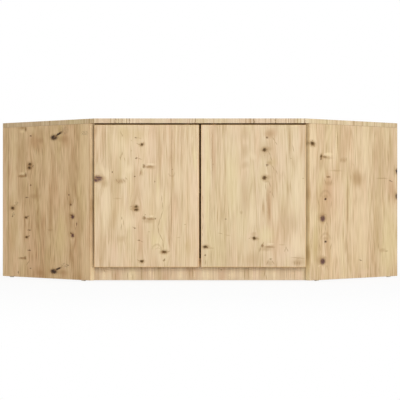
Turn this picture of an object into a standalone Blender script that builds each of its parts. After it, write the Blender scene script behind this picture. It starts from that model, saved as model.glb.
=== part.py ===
# Corner cabinet with two doors, to stand in the corner of a room
# Metres, +Z up, -Y is the front, the origin lies under the middle of the top's outline
import math

import bmesh
import bpy
from mathutils import Matrix, Vector

# Overall sizes
WALL_LEG = 1.000  # the top's two long sides, along the walls
SHORT_SIDE = 0.495  # the top's two short sides, square to the walls
HEIGHT = 0.550

# Boards
TOP_THICKNESS = 0.016
SIDE_THICKNESS = 0.019
BOTTOM_THICKNESS = 0.016
SHELF_THICKNESS = 0.016
POST_THICKNESS = 0.016
PLINTH_THICKNESS = 0.016
DOOR_THICKNESS = 0.016
BACK_THICKNESS = 0.003
EDGE_CHAMFER = 0.0006
FIT = 0.0003  # gap between pieces that touch
OVERRUN = 0.002  # how far a cut runs past the face it opens

# Places of the boards
GLIDE_HEIGHT = 0.003
BOTTOM_LEVEL = 0.062  # underside of the bottom panel
SHELF_LEVEL = 0.298  # underside of the shelf
SIDE_SETBACK = 0.0135  # side panel's front corner behind the door fronts
PLINTH_SETBACK = 0.038
SHELF_SETBACK = 0.082
SHELF_SLACK = 0.0012
BACK_INSET = 0.008  # back panels in from the wall sides
GROOVE_DEPTH = 0.006
POST_WIDTH = 0.080

# Doors
CENTRE_GAP = 0.006
DOOR_TOP_GAP = 0.0052
DOOR_BOTTOM_LEVEL = 0.0485

# Concealed corner hinges
HINGE_FROM_END = 0.082  # hinge's middle from the door's end
PIN_FROM_EDGE = 0.0115
PIN_FROM_FRONT = 0.012
PIN_RADIUS = 0.0015
PIN_HALF_LENGTH = 0.0094
CUP_FROM_EDGE = 0.0225
CUP_BORE_RADIUS = 0.0175
CUP_BORE_DEPTH = 0.0125
CUP_WALL = 0.0015
CUP_FLANGE = 0.0012
CUP_FLANGE_RADIUS = 0.0185
CUP_EAR_RADIUS = 0.0065
CUP_EAR_SPACING = 0.048
CUP_EAR_INSET = 0.0055  # ears nearer the door's middle than the cup
SLOT_HALF_WIDTH = 0.0070
CHEEK_WIDTH = 0.0035
KNUCKLE_RADIUS = 0.0032
ARM_HALF_WIDTH = 0.0066
ARM_SHEET = 0.0026
ARM_WALL = 0.0013
ARM_STEP = 0.0004
NECK_REACH = 0.0090
NECK_BEND = 0.0035
ARM_BEND = 0.0080
ARM_LIFT = 0.0130  # arm's sheet above the side panel
ARM_FOOT = 0.0040
ARM_CHANNEL_START = 0.020  # measured back from the side panel's front end
ARM_END = 0.062
PLATE_THICKNESS = 0.0022
PLATE_START = 0.022
PLATE_END = 0.066
PLATE_HALF_WIDTH = 0.0065
PLATE_WING_REACH = 0.024
PLATE_WING_RADIUS = 0.0070
PLATE_SCREW_SETBACK = 0.037
PLATE_SCREW_SPACING = 0.032
BRIDGE_START = 0.024
BRIDGE_END = 0.060
ADJUSTER_SETBACK = 0.030
CLAMP_SETBACK = 0.051

# Push latches under the top
LATCH_FROM_MIDDLE = 0.045
LATCH_SETBACK = 0.0215
LATCH_LENGTH = 0.056
LATCH_BODY_RADIUS = 0.0070
LATCH_AXIS_DROP = 0.0140  # plunger's axis under the top
LATCH_FLANGE_HALF_WIDTH = 0.0130
LATCH_FLANGE = 0.0025
LATCH_END_WALL = 0.0025
LATCH_SCREW_INSET = 0.020
LATCH_SCREW_OFFSET = 0.0100
PLUNGER_RADIUS = 0.0040
PLUNGER_NECK_RADIUS = 0.0030
PLUNGER_LENGTH = 0.0420
PLUNGER_TIP = 0.0040
SPRING_RADIUS = 0.0030
SPRING_WIRE = 0.0004  # radius
SPRING_TURNS = 7

# Cam joints, dowels and pins
CAM_RADIUS = 0.0072
CAM_DEPTH = 0.0122
CAM_FROM_EDGE = 0.024
CAM_RECESS_RADIUS = 0.0030
CAM_RECESS_DEPTH = 0.0020
BOLT_RADIUS = 0.0034
BOLT_THREAD_RADIUS = 0.0025
BOLT_THREAD_LENGTH = 0.0110
BOLT_TIP_FROM_CAM = 0.0020
DOWEL_RADIUS = 0.0040
DOWEL_LONG_DEPTH = 0.018  # depth in the board it stands in
DOWEL_SHORT_DEPTH = 0.011
# Setbacks along a side panel run from its wall end at the rear and from its front end in front
CAM_SETBACKS = {"rear": 0.070, "front": 0.076}
DOWEL_SETBACKS = {"rear": 0.110, "front": 0.106}
PIN_ROW_SETBACKS = {"rear": 0.060, "front": 0.126}
PIN_ROW_SPACING = 0.032
PIN_ROW_STEPS = (-1, 0, 1)
SHELF_PIN_RADIUS = 0.0025
SHELF_PIN_DEPTH = 0.0090
SHELF_PIN_REACH = 0.0080
SHELF_PIN_COLLAR_RADIUS = 0.0040
SHELF_PIN_COLLAR = 0.0012
POST_PIN_FROM_EDGE = 0.030

# Plinth blocks, glides and screw holes
BLOCK_WIDTH = 0.020
BLOCK_SIZE = 0.018
BLOCK_CHAMFER = 0.009
BLOCK_FROM_CORNER = 0.137  # along the front
GLIDE_RADIUS = 0.0075
GLIDE_PIN_RADIUS = 0.0012
GLIDE_PIN_LENGTH = 0.0100
GLIDE_SETBACKS = {"rear": 0.040, "front": 0.046}
SCREW_RADIUS = 0.0018
SCREW_DEPTH = 0.0110

# Facets of round pieces
FINE_SIDES = 32
ROUND_SIDES = 12
SMALL_SIDES = 8
ARC_STEPS = 6
COIL_STEPS = 9

# Worked out from the sizes above
ROOT_TWO = math.sqrt(2)
HALF_SPAN = WALL_LEG / ROOT_TWO
HALF_FRONT = (WALL_LEG - SHORT_SIDE) / ROOT_TWO
REAR_Y = (WALL_LEG + SHORT_SIDE) / ROOT_TWO / 2
FRONT_Y = -REAR_Y
WALL_END_Y = REAR_Y - HALF_SPAN
TOP_LEVEL = HEIGHT - TOP_THICKNESS  # underside of the top
SIDE_LENGTH = SHORT_SIDE - SIDE_SETBACK * ROOT_TWO
BOTTOM_SETBACK = SIDE_SETBACK + SIDE_THICKNESS / ROOT_TWO  # flush with the sides' inner front corners
BACK_FACE = BACK_INSET + BACK_THICKNESS  # back panels' inner faces
CARCASS_REAR = BACK_FACE + FIT
POST_FACE = CARCASS_REAR + POST_THICKNESS
POST_END = WALL_LEG - CARCASS_REAR - POST_WIDTH
DOOR_TOP_LEVEL = TOP_LEVEL - DOOR_TOP_GAP
DOOR_MIDDLE = (DOOR_TOP_LEVEL + DOOR_BOTTOM_LEVEL) / 2
DOOR_HALF_HEIGHT = (DOOR_TOP_LEVEL - DOOR_BOTTOM_LEVEL) / 2
PIN_X = HALF_FRONT - PIN_FROM_EDGE
PIN_Y = FRONT_Y + PIN_FROM_FRONT
DOOR_BACK = DOOR_THICKNESS - PIN_FROM_FRONT  # door's inner face, from the pin
CUP_X = PIN_FROM_EDGE - CUP_FROM_EDGE  # cup's middle, from the pin
CUP_RADIUS = CUP_BORE_RADIUS - FIT
CUP_SCREW_X = CUP_X - CUP_EAR_INSET
HINGE_OFFSET = DOOR_HALF_HEIGHT - HINGE_FROM_END
LATCH_LEVEL = TOP_LEVEL - LATCH_AXIS_DROP
LATCH_FRONT_Y = FRONT_Y + LATCH_SETBACK
DOOR_INNER_Y = FRONT_Y + DOOR_THICKNESS

SIDES = {"left": -1, "right": 1}
HINGE_LEVELS = {"lower": -1, "upper": 1}

# Finishes: base colour, roughness, metallic
OAK = ((0.68, 0.52, 0.33), 0.55, 0.0)
BACKING = ((0.55, 0.42, 0.28), 0.75, 0.0)
NICKEL = ((0.62, 0.61, 0.58), 0.32, 1.0)
ZINC = ((0.52, 0.53, 0.54), 0.45, 1.0)
GREY_PLASTIC = ((0.30, 0.30, 0.31), 0.5, 0.0)
WHITE_PLASTIC = ((0.80, 0.80, 0.78), 0.45, 0.0)
BEECH = ((0.62, 0.44, 0.26), 0.7, 0.0)


# Places in plan: u runs from the wall side to the front, v along the wall from the short side
def plan(side, u, v):
    return (side * (HALF_SPAN - (u + v) / ROOT_TWO), WALL_END_Y + (v - u) / ROOT_TWO)


def plan_point(side, u, v, level):
    return Vector((*plan(side, u, v), level))


def u_direction(side):
    return Vector((-side, -1, 0)) / ROOT_TWO


def v_direction(side):
    return Vector((-side, 1, 0)) / ROOT_TWO


def front_line(setback, v):
    return SHORT_SIDE - setback * ROOT_TWO + v


def side_places(setbacks):
    return {"rear": setbacks["rear"], "front": SIDE_LENGTH - setbacks["front"]}


# Mesh helpers
def clear_scene():
    for item in list(bpy.data.objects):
        bpy.data.objects.remove(item, do_unlink=True)


def arc(centre, radius, start, end, steps=ARC_STEPS):
    angles = [start + (end - start) * i / steps for i in range(steps + 1)]
    return [(centre[0] + radius * math.cos(a), centre[1] + radius * math.sin(a)) for a in angles]


def mesh_from(bm, name):
    bmesh.ops.recalc_face_normals(bm, faces=bm.faces)
    mesh = bpy.data.meshes.new(name)
    bm.to_mesh(mesh)
    bm.free()
    return mesh


def add_mesh(bm, mesh, matrix=Matrix()):
    mesh.transform(matrix)
    bm.from_mesh(mesh)
    mesh.transform(matrix.inverted())


def flat_place(a, b, c):
    return (a, b, c)


def add_prism(bm, outline, low, high, place=flat_place):
    base = bm.faces.new([bm.verts.new(place(a, b, low)) for a, b in outline])
    grown = bmesh.ops.extrude_face_region(bm, geom=[base])["geom"]
    verts = [item for item in grown if isinstance(item, bmesh.types.BMVert)]
    step = Vector(place(0, 0, high)) - Vector(place(0, 0, low))
    bmesh.ops.translate(bm, verts=verts, vec=step)


def add_turned(bm, base, direction, profile, sides=ROUND_SIDES):
    turn = Vector((0, 0, 1)).rotation_difference(Vector(direction)).to_matrix().to_4x4()
    piece = bmesh.new()
    verts = [piece.verts.new((radius, 0, height)) for radius, height in profile]
    edges = [piece.edges.new(pair) for pair in zip(verts, verts[1:])]
    bmesh.ops.spin(piece, geom=verts + edges, axis=(0, 0, 1), angle=math.tau, steps=sides, use_merge=True)
    bmesh.ops.remove_doubles(piece, verts=piece.verts, dist=FIT / 100)
    bmesh.ops.transform(piece, matrix=Matrix.Translation(Vector(base)) @ turn, verts=piece.verts)
    add_mesh(bm, mesh_from(piece, "turned"))


def add_rod(bm, start, end, radius, sides=ROUND_SIDES):
    step = Vector(end) - Vector(start)
    add_turned(bm, start, step, [(0, 0), (radius, 0), (radius, step.length), (0, step.length)], sides)


def add_hole(bm, seat, direction, depth, radius, sides=SMALL_SIDES):
    direction = Vector(direction).normalized()
    start = Vector(seat) - direction * depth
    add_rod(bm, start, Vector(seat) + direction * OVERRUN, radius, sides)


def finish_for(name, finish):
    colour, roughness, metallic = finish
    material = bpy.data.materials.new(name)
    material.use_nodes = True
    shader = material.node_tree.nodes["Principled BSDF"]
    shader.inputs["Base Color"].default_value = (*colour, 1)
    shader.inputs["Roughness"].default_value = roughness
    shader.inputs["Metallic"].default_value = metallic
    return material


def add_object(name, mesh, finish=None, matrix=Matrix(), smooth=False):
    item = bpy.data.objects.new(name, mesh)
    bpy.context.collection.objects.link(item)
    item.matrix_world = matrix
    if smooth:
        mesh.shade_smooth()
        mesh.set_sharp_from_angle(angle=math.radians(35))
    if finish and not mesh.materials:
        mesh.materials.append(finish_for(name, finish))
    return item


def located(name, bm, finish, origin, smooth=False):
    bmesh.ops.translate(bm, verts=bm.verts, vec=-Vector(origin))
    mesh = mesh_from(bm, name)
    return add_object(name, mesh, finish, Matrix.Translation(origin), smooth)


def chamfer(item):
    edges = item.modifiers.new("edge chamfer", "BEVEL")
    edges.width = EDGE_CHAMFER
    edges.segments = 1
    edges.limit_method = "ANGLE"
    edges.angle_limit = math.radians(40)


def boolean(item, other, operation="DIFFERENCE"):
    cut = item.modifiers.new(other.name, "BOOLEAN")
    cut.operation = operation
    cut.solver = "EXACT"
    cut.object = other


def cut_with(item, bm, name):
    if not bm.verts:
        bm.free()
        return
    cutter = add_object(f"{item.name} {name}", mesh_from(bm, name), matrix=Matrix())
    cutter.hide_render = True
    cutter.display_type = "WIRE"
    boolean(item, cutter)


def baked_mesh(item, name):
    evaluated = item.evaluated_get(bpy.context.evaluated_depsgraph_get())
    mesh = bpy.data.meshes.new_from_object(evaluated)
    mesh.name = name
    helpers = [step.object for step in item.modifiers if step.type == "BOOLEAN"]
    for helper in [item, *helpers]:
        bpy.data.objects.remove(helper, do_unlink=True)
    return mesh


# Cuts wait here until each board is made
BORES = {}


def bores(board, layer):
    return BORES.setdefault(board, {}).setdefault(layer, bmesh.new())


def cut_bores(item):
    for layer, bm in BORES.pop(item.name, {}).items():
        cut_with(item, bm, layer)


def cam_blank(face, outward):
    profile = [
        (0, -CAM_DEPTH),
        (CAM_RADIUS, -CAM_DEPTH),
        (CAM_RADIUS, 0),
        (CAM_RECESS_RADIUS, 0),
        (CAM_RECESS_RADIUS, -CAM_RECESS_DEPTH),
        (0, -CAM_RECESS_DEPTH),
    ]
    bm = bmesh.new()
    add_turned(bm, face, outward, profile)
    return bm


def add_cam_joint(label, face, outward, board, mate):
    """A cam in the face of one board draws in the bolt that stands in the board above it."""
    up = Vector((0, 0, 1))
    add_hole(bores(board, "cams"), face, outward, CAM_DEPTH + FIT, CAM_RADIUS + FIT, ROUND_SIDES)
    axis = face - outward * SIDE_THICKNESS / 2
    edge = axis + up * CAM_FROM_EDGE
    inner = axis + up * (BOLT_TIP_FROM_CAM - FIT)
    add_rod(bores(board, "bolts"), inner, edge + up * OVERRUN, BOLT_RADIUS + FIT, SMALL_SIDES)
    depth = BOLT_THREAD_LENGTH + FIT
    add_hole(bores(mate, "threads"), edge + up * FIT, -up, depth, BOLT_THREAD_RADIUS + FIT)
    length = CAM_FROM_EDGE - BOLT_TIP_FROM_CAM
    profile = [
        (0, 0),
        (BOLT_RADIUS, 0),
        (BOLT_RADIUS, length),
        (BOLT_THREAD_RADIUS, length),
        (BOLT_THREAD_RADIUS, length + BOLT_THREAD_LENGTH),
        (0, length + BOLT_THREAD_LENGTH),
    ]
    tip = axis + up * BOLT_TIP_FROM_CAM
    bolt = bmesh.new()
    add_turned(bolt, tip, up, profile, SMALL_SIDES)
    located(f"{label}_cam_bolt", bolt, ZINC, tip)
    lock = located(f"{label}_cam_lock", cam_blank(face, outward), ZINC, face)
    mouth = bmesh.new()
    add_rod(mouth, axis, axis + up * (CAM_RADIUS + OVERRUN), BOLT_RADIUS + FIT, SMALL_SIDES)
    cut_with(lock, mouth, "mouth")


def add_dowel(name, seam, toward, dowel_board, mate_board):
    """A dowel stands in one board's edge and enters the other; seam lies midway between them."""
    near = seam - toward * FIT / 2
    far = seam + toward * FIT / 2
    hole = DOWEL_RADIUS + FIT
    add_hole(bores(dowel_board, "dowels"), near, toward, DOWEL_LONG_DEPTH + FIT, hole)
    add_hole(bores(mate_board, "dowels"), far, -toward, DOWEL_SHORT_DEPTH + FIT, hole)
    start = near - toward * DOWEL_LONG_DEPTH
    end = far + toward * DOWEL_SHORT_DEPTH
    dowel = bmesh.new()
    add_rod(dowel, start, end, DOWEL_RADIUS, SMALL_SIDES)
    located(name, dowel, BEECH, start)


# Boards
def add_board(name, side, corners, low, high):
    """A board over an outline given in u and v, with its origin at the first corner."""
    bm = bmesh.new()
    add_prism(bm, [plan(side, u, v) for u, v in corners], low, high)
    item = located(name, bm, OAK, plan_point(side, *corners[0], low))
    chamfer(item)
    cut_bores(item)
    return item


def symmetric_outline(half):
    """Corners of the right half, from the front to the middle of the rear, and their mirror."""
    right = [plan(1, u, v) for u, v in half]
    left = [(-x, y) for x, y in reversed(right) if x > FIT]
    return right + left


def add_wide_board(name, outline, low, high, cuts=()):
    bm = bmesh.new()
    add_prism(bm, outline, low, high)
    item = located(name, bm, OAK, (0, 0, low))
    chamfer(item)
    for label, cut in cuts:
        cut_with(item, cut, label)
    cut_bores(item)
    return item


def inner_outline(setback, slack):
    """Outline that fits between the sides, the backs and the rear posts."""
    near = SIDE_THICKNESS + slack
    rear = BACK_FACE + slack
    post = POST_FACE + slack
    return symmetric_outline(
        [
            (front_line(setback, near), near),
            (rear, near),
            (rear, POST_END - slack),
            (post, POST_END - slack),
            (post, WALL_LEG - post),
        ]
    )


def back_groove_outline():
    front = BACK_FACE + FIT
    rear = BACK_INSET - FIT
    start = SIDE_THICKNESS - GROOVE_DEPTH
    outer = symmetric_outline([(rear, start), (rear, WALL_LEG - rear)])
    inner = symmetric_outline([(front, start), (front, WALL_LEG - front)])
    return outer + inner[::-1]


def make_top():
    groove = bmesh.new()
    add_prism(groove, back_groove_outline(), TOP_LEVEL - OVERRUN, TOP_LEVEL + GROOVE_DEPTH)
    outline = symmetric_outline([(SHORT_SIDE, 0), (0, 0), (0, WALL_LEG)])
    add_wide_board("top_panel", outline, TOP_LEVEL, HEIGHT, [("back groove", groove)])


def make_bottom():
    outline = inner_outline(BOTTOM_SETBACK, FIT)
    add_wide_board("bottom_panel", outline, BOTTOM_LEVEL, BOTTOM_LEVEL + BOTTOM_THICKNESS)


def make_shelf():
    outline = inner_outline(SHELF_SETBACK, SHELF_SLACK)
    add_wide_board("shelf", outline, SHELF_LEVEL, SHELF_LEVEL + SHELF_THICKNESS)


def make_side(label, side):
    name = f"{label}_side_panel"
    groove = [
        (BACK_INSET - FIT, SIDE_THICKNESS - GROOVE_DEPTH),
        (BACK_FACE + FIT, SIDE_THICKNESS - GROOVE_DEPTH),
        (BACK_FACE + FIT, SIDE_THICKNESS + OVERRUN),
        (BACK_INSET - FIT, SIDE_THICKNESS + OVERRUN),
    ]
    outline = [plan(side, u, v) for u, v in groove]
    add_prism(bores(name, "back groove"), outline, GLIDE_HEIGHT - OVERRUN, TOP_LEVEL + OVERRUN)
    corners = [(SIDE_LENGTH, 0), (SIDE_LENGTH, SIDE_THICKNESS), (0, SIDE_THICKNESS), (0, 0)]
    add_board(name, side, corners, GLIDE_HEIGHT, TOP_LEVEL - FIT)


def make_back(label, side, end):
    corners = [
        (BACK_INSET, SIDE_THICKNESS - GROOVE_DEPTH + FIT),
        (BACK_FACE, SIDE_THICKNESS - GROOVE_DEPTH + FIT),
        (BACK_FACE, end),
        (BACK_INSET, end),
    ]
    bm = bmesh.new()
    outline = [plan(side, u, v) for u, v in corners]
    add_prism(bm, outline, BOTTOM_LEVEL, TOP_LEVEL + GROOVE_DEPTH - FIT)
    located(f"{label}_back_panel", bm, BACKING, plan_point(side, *corners[0], BOTTOM_LEVEL))


def make_post(label, side, end):
    corners = [(CARCASS_REAR, POST_END), (POST_FACE, POST_END), (POST_FACE, end), (CARCASS_REAR, end)]
    add_board(f"{label}_rear_post", side, corners, GLIDE_HEIGHT, TOP_LEVEL - FIT)


def make_plinth():
    def reach(setback):
        inner = plan(1, SIDE_LENGTH, SIDE_THICKNESS + FIT)
        return inner[0] + FRONT_Y + setback - inner[1]

    rear = PLINTH_SETBACK + PLINTH_THICKNESS
    outline = [
        (-reach(PLINTH_SETBACK), FRONT_Y + PLINTH_SETBACK),
        (reach(PLINTH_SETBACK), FRONT_Y + PLINTH_SETBACK),
        (reach(rear), FRONT_Y + rear),
        (-reach(rear), FRONT_Y + rear),
    ]
    add_wide_board("plinth_board", outline, GLIDE_HEIGHT, BOTTOM_LEVEL - FIT)


def make_plinth_block(label, side):
    """A corner block behind the plinth, screwed to it and to the bottom panel above."""
    rear_y = FRONT_Y + PLINTH_SETBACK + PLINTH_THICKNESS + FIT
    top = BOTTOM_LEVEL - FIT
    middle = side * (HALF_FRONT - BLOCK_FROM_CORNER)
    outline = [
        (rear_y, top),
        (rear_y + BLOCK_SIZE, top),
        (rear_y + BLOCK_SIZE, top - BLOCK_CHAMFER),
        (rear_y + BLOCK_CHAMFER, top - BLOCK_SIZE),
        (rear_y, top - BLOCK_SIZE),
    ]

    def place(a, b, c):
        return (middle + c, a, b)

    block = bmesh.new()
    add_prism(block, outline, -BLOCK_WIDTH / 2, BLOCK_WIDTH / 2, place)
    item = located(f"{label}_plinth_block", block, WHITE_PLASTIC, (middle, rear_y, top))
    shift = BLOCK_WIDTH / 4
    low = BLOCK_SIZE - BLOCK_CHAMFER / 2
    backward = Vector((0, 1, 0))
    down = Vector((0, 0, -1))
    faces = [
        (Vector((middle - shift, rear_y, top - low)), backward, "plinth_board"),
        (Vector((middle + shift, rear_y + low, top)), down, "bottom_panel"),
    ]
    holes = bmesh.new()
    for face, outward, board in faces:
        far = face + outward * BLOCK_SIZE
        add_hole(holes, far, outward, BLOCK_SIZE + OVERRUN, SCREW_RADIUS + FIT)
        seat = face - outward * FIT
        add_hole(bores(board, "block screws"), seat, outward, SCREW_DEPTH, SCREW_RADIUS + FIT)
    cut_with(item, holes, "screw holes")


# Joints between boards
def make_board_joints():
    level = BOTTOM_LEVEL + BOTTOM_THICKNESS / 2
    for label, side in SIDES.items():
        board = f"{label}_side_panel"
        inward = v_direction(side)
        for end, u in side_places(CAM_SETBACKS).items():
            face = plan_point(side, u, SIDE_THICKNESS, TOP_LEVEL - FIT - CAM_FROM_EDGE)
            add_cam_joint(f"{label}_{end}", face, inward, board, "top_panel")
        for end, u in side_places(DOWEL_SETBACKS).items():
            seam = plan_point(side, u, SIDE_THICKNESS + FIT / 2, level)
            add_dowel(f"{label}_{end}_bottom_dowel", seam, -inward, "bottom_panel", board)


def make_shelf_pins():
    profile = [
        (0, -SHELF_PIN_DEPTH),
        (SHELF_PIN_RADIUS, -SHELF_PIN_DEPTH),
        (SHELF_PIN_RADIUS, FIT),
        (SHELF_PIN_COLLAR_RADIUS, FIT),
        (SHELF_PIN_COLLAR_RADIUS, FIT + SHELF_PIN_COLLAR),
        (SHELF_PIN_RADIUS, FIT + SHELF_PIN_COLLAR),
        (SHELF_PIN_RADIUS, SHELF_PIN_REACH),
        (0, SHELF_PIN_REACH),
    ]
    level = SHELF_LEVEL - FIT - SHELF_PIN_COLLAR_RADIUS
    hole = SHELF_PIN_RADIUS + FIT
    for label, side in SIDES.items():
        rows = [
            (end, f"{label}_side_panel", u, SIDE_THICKNESS, v_direction(side))
            for end, u in side_places(PIN_ROW_SETBACKS).items()
        ]
        along = POST_END + POST_PIN_FROM_EDGE
        rows.append(("post", f"{label}_rear_post", POST_FACE, along, u_direction(side)))
        for end, board, u, v, outward in rows:
            for step in PIN_ROW_STEPS:
                seat = plan_point(side, u, v, level + step * PIN_ROW_SPACING)
                add_hole(bores(board, "pin rows"), seat, outward, SHELF_PIN_DEPTH + FIT, hole)
            seat = plan_point(side, u, v, level)
            pin = bmesh.new()
            add_turned(pin, seat, outward, profile, SMALL_SIDES)
            located(f"{label}_{end}_shelf_pin", pin, NICKEL, seat, smooth=True)


def make_glides():
    profile = [
        (0, 0),
        (GLIDE_RADIUS, 0),
        (GLIDE_RADIUS, GLIDE_HEIGHT - FIT),
        (GLIDE_PIN_RADIUS, GLIDE_HEIGHT - FIT),
        (GLIDE_PIN_RADIUS, GLIDE_HEIGHT + GLIDE_PIN_LENGTH),
        (0, GLIDE_HEIGHT + GLIDE_PIN_LENGTH),
    ]
    up = Vector((0, 0, 1))
    depth = GLIDE_PIN_LENGTH + FIT
    for label, side in SIDES.items():
        middle = CARCASS_REAR + POST_THICKNESS / 2
        foot = plan_point(side, middle, POST_END + POST_WIDTH / 2, 0)
        places = {f"{label}_post": (f"{label}_rear_post", foot)}
        for end, u in side_places(GLIDE_SETBACKS).items():
            foot = plan_point(side, u, SIDE_THICKNESS / 2, 0)
            places[f"{label}_{end}"] = (f"{label}_side_panel", foot)
        for name, (board, foot) in places.items():
            face = foot + up * GLIDE_HEIGHT
            add_hole(bores(board, "glides"), face, -up, depth, GLIDE_PIN_RADIUS + FIT)
            glide = bmesh.new()
            add_turned(glide, foot, up, profile)
            located(f"{name}_glide", glide, GREY_PLASTIC, foot)


# Concealed hinges, drawn round the pin: x towards the door's outer edge, y inwards, z along the pin
def hinge_frame(side, level):
    turn = Matrix() if side > 0 else Matrix.Rotation(math.pi, 4, "Y")
    return Matrix.Translation((side * PIN_X, PIN_Y, level)) @ turn


def along_side(back, off, rise=0):
    """A place beside the side panel: back from its front end, and off its inner face."""
    corner = plan_point(1, SIDE_LENGTH, SIDE_THICKNESS, 0) - Vector((PIN_X, PIN_Y, 0))
    return corner - u_direction(1) * back + v_direction(1) * off + Vector((0, 0, rise))


def side_place(a, b, c):
    return along_side(a, c, b)


def cup_place(a, b, c):
    return (CUP_X + a, c, b)


def cup_flange_outline():
    ear_left = -CUP_EAR_INSET - CUP_EAR_RADIUS
    ear_right = -CUP_EAR_INSET + CUP_EAR_RADIUS
    right = math.acos(ear_right / CUP_FLANGE_RADIUS)
    left = math.acos(ear_left / CUP_FLANGE_RADIUS)
    ear = CUP_EAR_SPACING / 2
    points = arc((0, 0), CUP_FLANGE_RADIUS, -right, right, ARC_STEPS * 2)
    points += arc((-CUP_EAR_INSET, ear), CUP_EAR_RADIUS, 0, math.pi)
    points += arc((0, 0), CUP_FLANGE_RADIUS, left, math.tau - left)
    points += arc((-CUP_EAR_INSET, -ear), CUP_EAR_RADIUS, math.pi, math.tau)
    return points


def cup_hollow_outline():
    radius = CUP_RADIUS - CUP_WALL
    cheek = -CUP_X - CHEEK_WIDTH
    wide = math.acos(cheek / radius)
    narrow = math.asin(SLOT_HALF_WIDTH / radius)
    points = arc((0, 0), radius, wide, math.tau - wide, ARC_STEPS * 3)
    points.append((cheek, -SLOT_HALF_WIDTH))
    points += arc((0, 0), radius, -narrow, narrow, 2)
    points.append((cheek, SLOT_HALF_WIDTH))
    return points


def cup_mesh():
    body = bmesh.new()
    floor = DOOR_BACK - CUP_BORE_DEPTH + FIT
    rim = DOOR_BACK + FIT + CUP_FLANGE
    add_rod(body, (CUP_X, floor, 0), (CUP_X, rim - CUP_FLANGE / 2, 0), CUP_RADIUS, FINE_SIDES)
    cup = add_object("cup blank", mesh_from(body, "cup blank"))
    flange = bmesh.new()
    add_prism(flange, cup_flange_outline(), DOOR_BACK + FIT, rim, cup_place)
    plate = add_object("cup flange", mesh_from(flange, "cup flange"))
    boolean(cup, plate, "UNION")
    hollow = bmesh.new()
    add_prism(hollow, cup_hollow_outline(), floor + CUP_WALL, rim + OVERRUN, cup_place)
    cut_with(cup, hollow, "hollow")
    holes = bmesh.new()
    reach = PIN_HALF_LENGTH + FIT
    add_rod(holes, (0, 0, -reach), (0, 0, reach), PIN_RADIUS + FIT)
    for step in (-1, 1):
        seat = (CUP_SCREW_X, rim, step * CUP_EAR_SPACING / 2)
        add_hole(holes, seat, (0, 1, 0), CUP_FLANGE + OVERRUN, SCREW_RADIUS + FIT)
    cut_with(cup, holes, "holes")
    return baked_mesh(cup, "hinge cup")


def arm_outline():
    half = ARM_SHEET / 2
    start = math.pi - math.asin(half / KNUCKLE_RADIUS)
    corner = along_side(0, 0)
    rise = (
        ROOT_TWO * ARM_LIFT - corner.x + corner.y - NECK_REACH + ARM_BEND - ROOT_TWO * ARM_BEND
    )
    neck = (NECK_BEND - NECK_REACH, NECK_BEND)
    bend = (ARM_BEND - NECK_REACH, rise)
    eighth = math.pi / 4
    points = arc((0, 0), KNUCKLE_RADIUS, start, -start, ARC_STEPS * 2)
    points += arc(neck, NECK_BEND + half, -2 * eighth, -4 * eighth, ARC_STEPS)
    points += arc(bend, ARM_BEND + half, 4 * eighth, 3 * eighth, ARC_STEPS)
    body = [
        (ARM_END, ARM_LIFT + half),
        (ARM_END, ARM_FOOT),
        (ARM_CHANNEL_START, ARM_FOOT),
        (ARM_CHANNEL_START, ARM_LIFT - half),
    ]
    points += [tuple(along_side(back, off))[:2] for back, off in body]
    points += arc(bend, ARM_BEND - half, 3 * eighth, 4 * eighth, ARC_STEPS)
    points += arc(neck, NECK_BEND - half, -4 * eighth, -2 * eighth, ARC_STEPS)
    return points


def arm_mesh():
    body = bmesh.new()
    add_prism(body, arm_outline(), -ARM_HALF_WIDTH, ARM_HALF_WIDTH)
    arm = add_object("arm blank", mesh_from(body, "arm blank"))
    web = ARM_LIFT - ARM_SHEET / 2 - ARM_STEP
    inner = ARM_HALF_WIDTH - ARM_WALL
    start = ARM_CHANNEL_START - OVERRUN
    outline = [
        (start, -inner),
        (ARM_END + OVERRUN, -inner),
        (ARM_END + OVERRUN, inner),
        (start, inner),
    ]
    channel = bmesh.new()
    add_prism(channel, outline, ARM_FOOT - OVERRUN, web, side_place)
    cut_with(arm, channel, "channel")
    holes = bmesh.new()
    reach = ARM_HALF_WIDTH + OVERRUN
    add_rod(holes, (0, 0, -reach), (0, 0, reach), PIN_RADIUS + FIT)
    for back in (ADJUSTER_SETBACK, CLAMP_SETBACK):
        seat = along_side(back, ARM_LIFT + ARM_SHEET / 2)
        add_hole(holes, seat, v_direction(1), ARM_SHEET + OVERRUN, SCREW_RADIUS + FIT)
    cut_with(arm, holes, "holes")
    return baked_mesh(arm, "hinge arm")


def plate_outline():
    wing = PLATE_WING_REACH - PLATE_WING_RADIUS
    near = PLATE_SCREW_SETBACK - PLATE_WING_RADIUS
    far = PLATE_SCREW_SETBACK + PLATE_WING_RADIUS
    upper = [(PLATE_END, PLATE_HALF_WIDTH), (far, PLATE_HALF_WIDTH)]
    upper += arc((PLATE_SCREW_SETBACK, wing), PLATE_WING_RADIUS, 0, math.pi)
    upper += [(near, PLATE_HALF_WIDTH), (PLATE_START, PLATE_HALF_WIDTH)]
    return upper + [(a, -b) for a, b in reversed(upper)]


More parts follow.
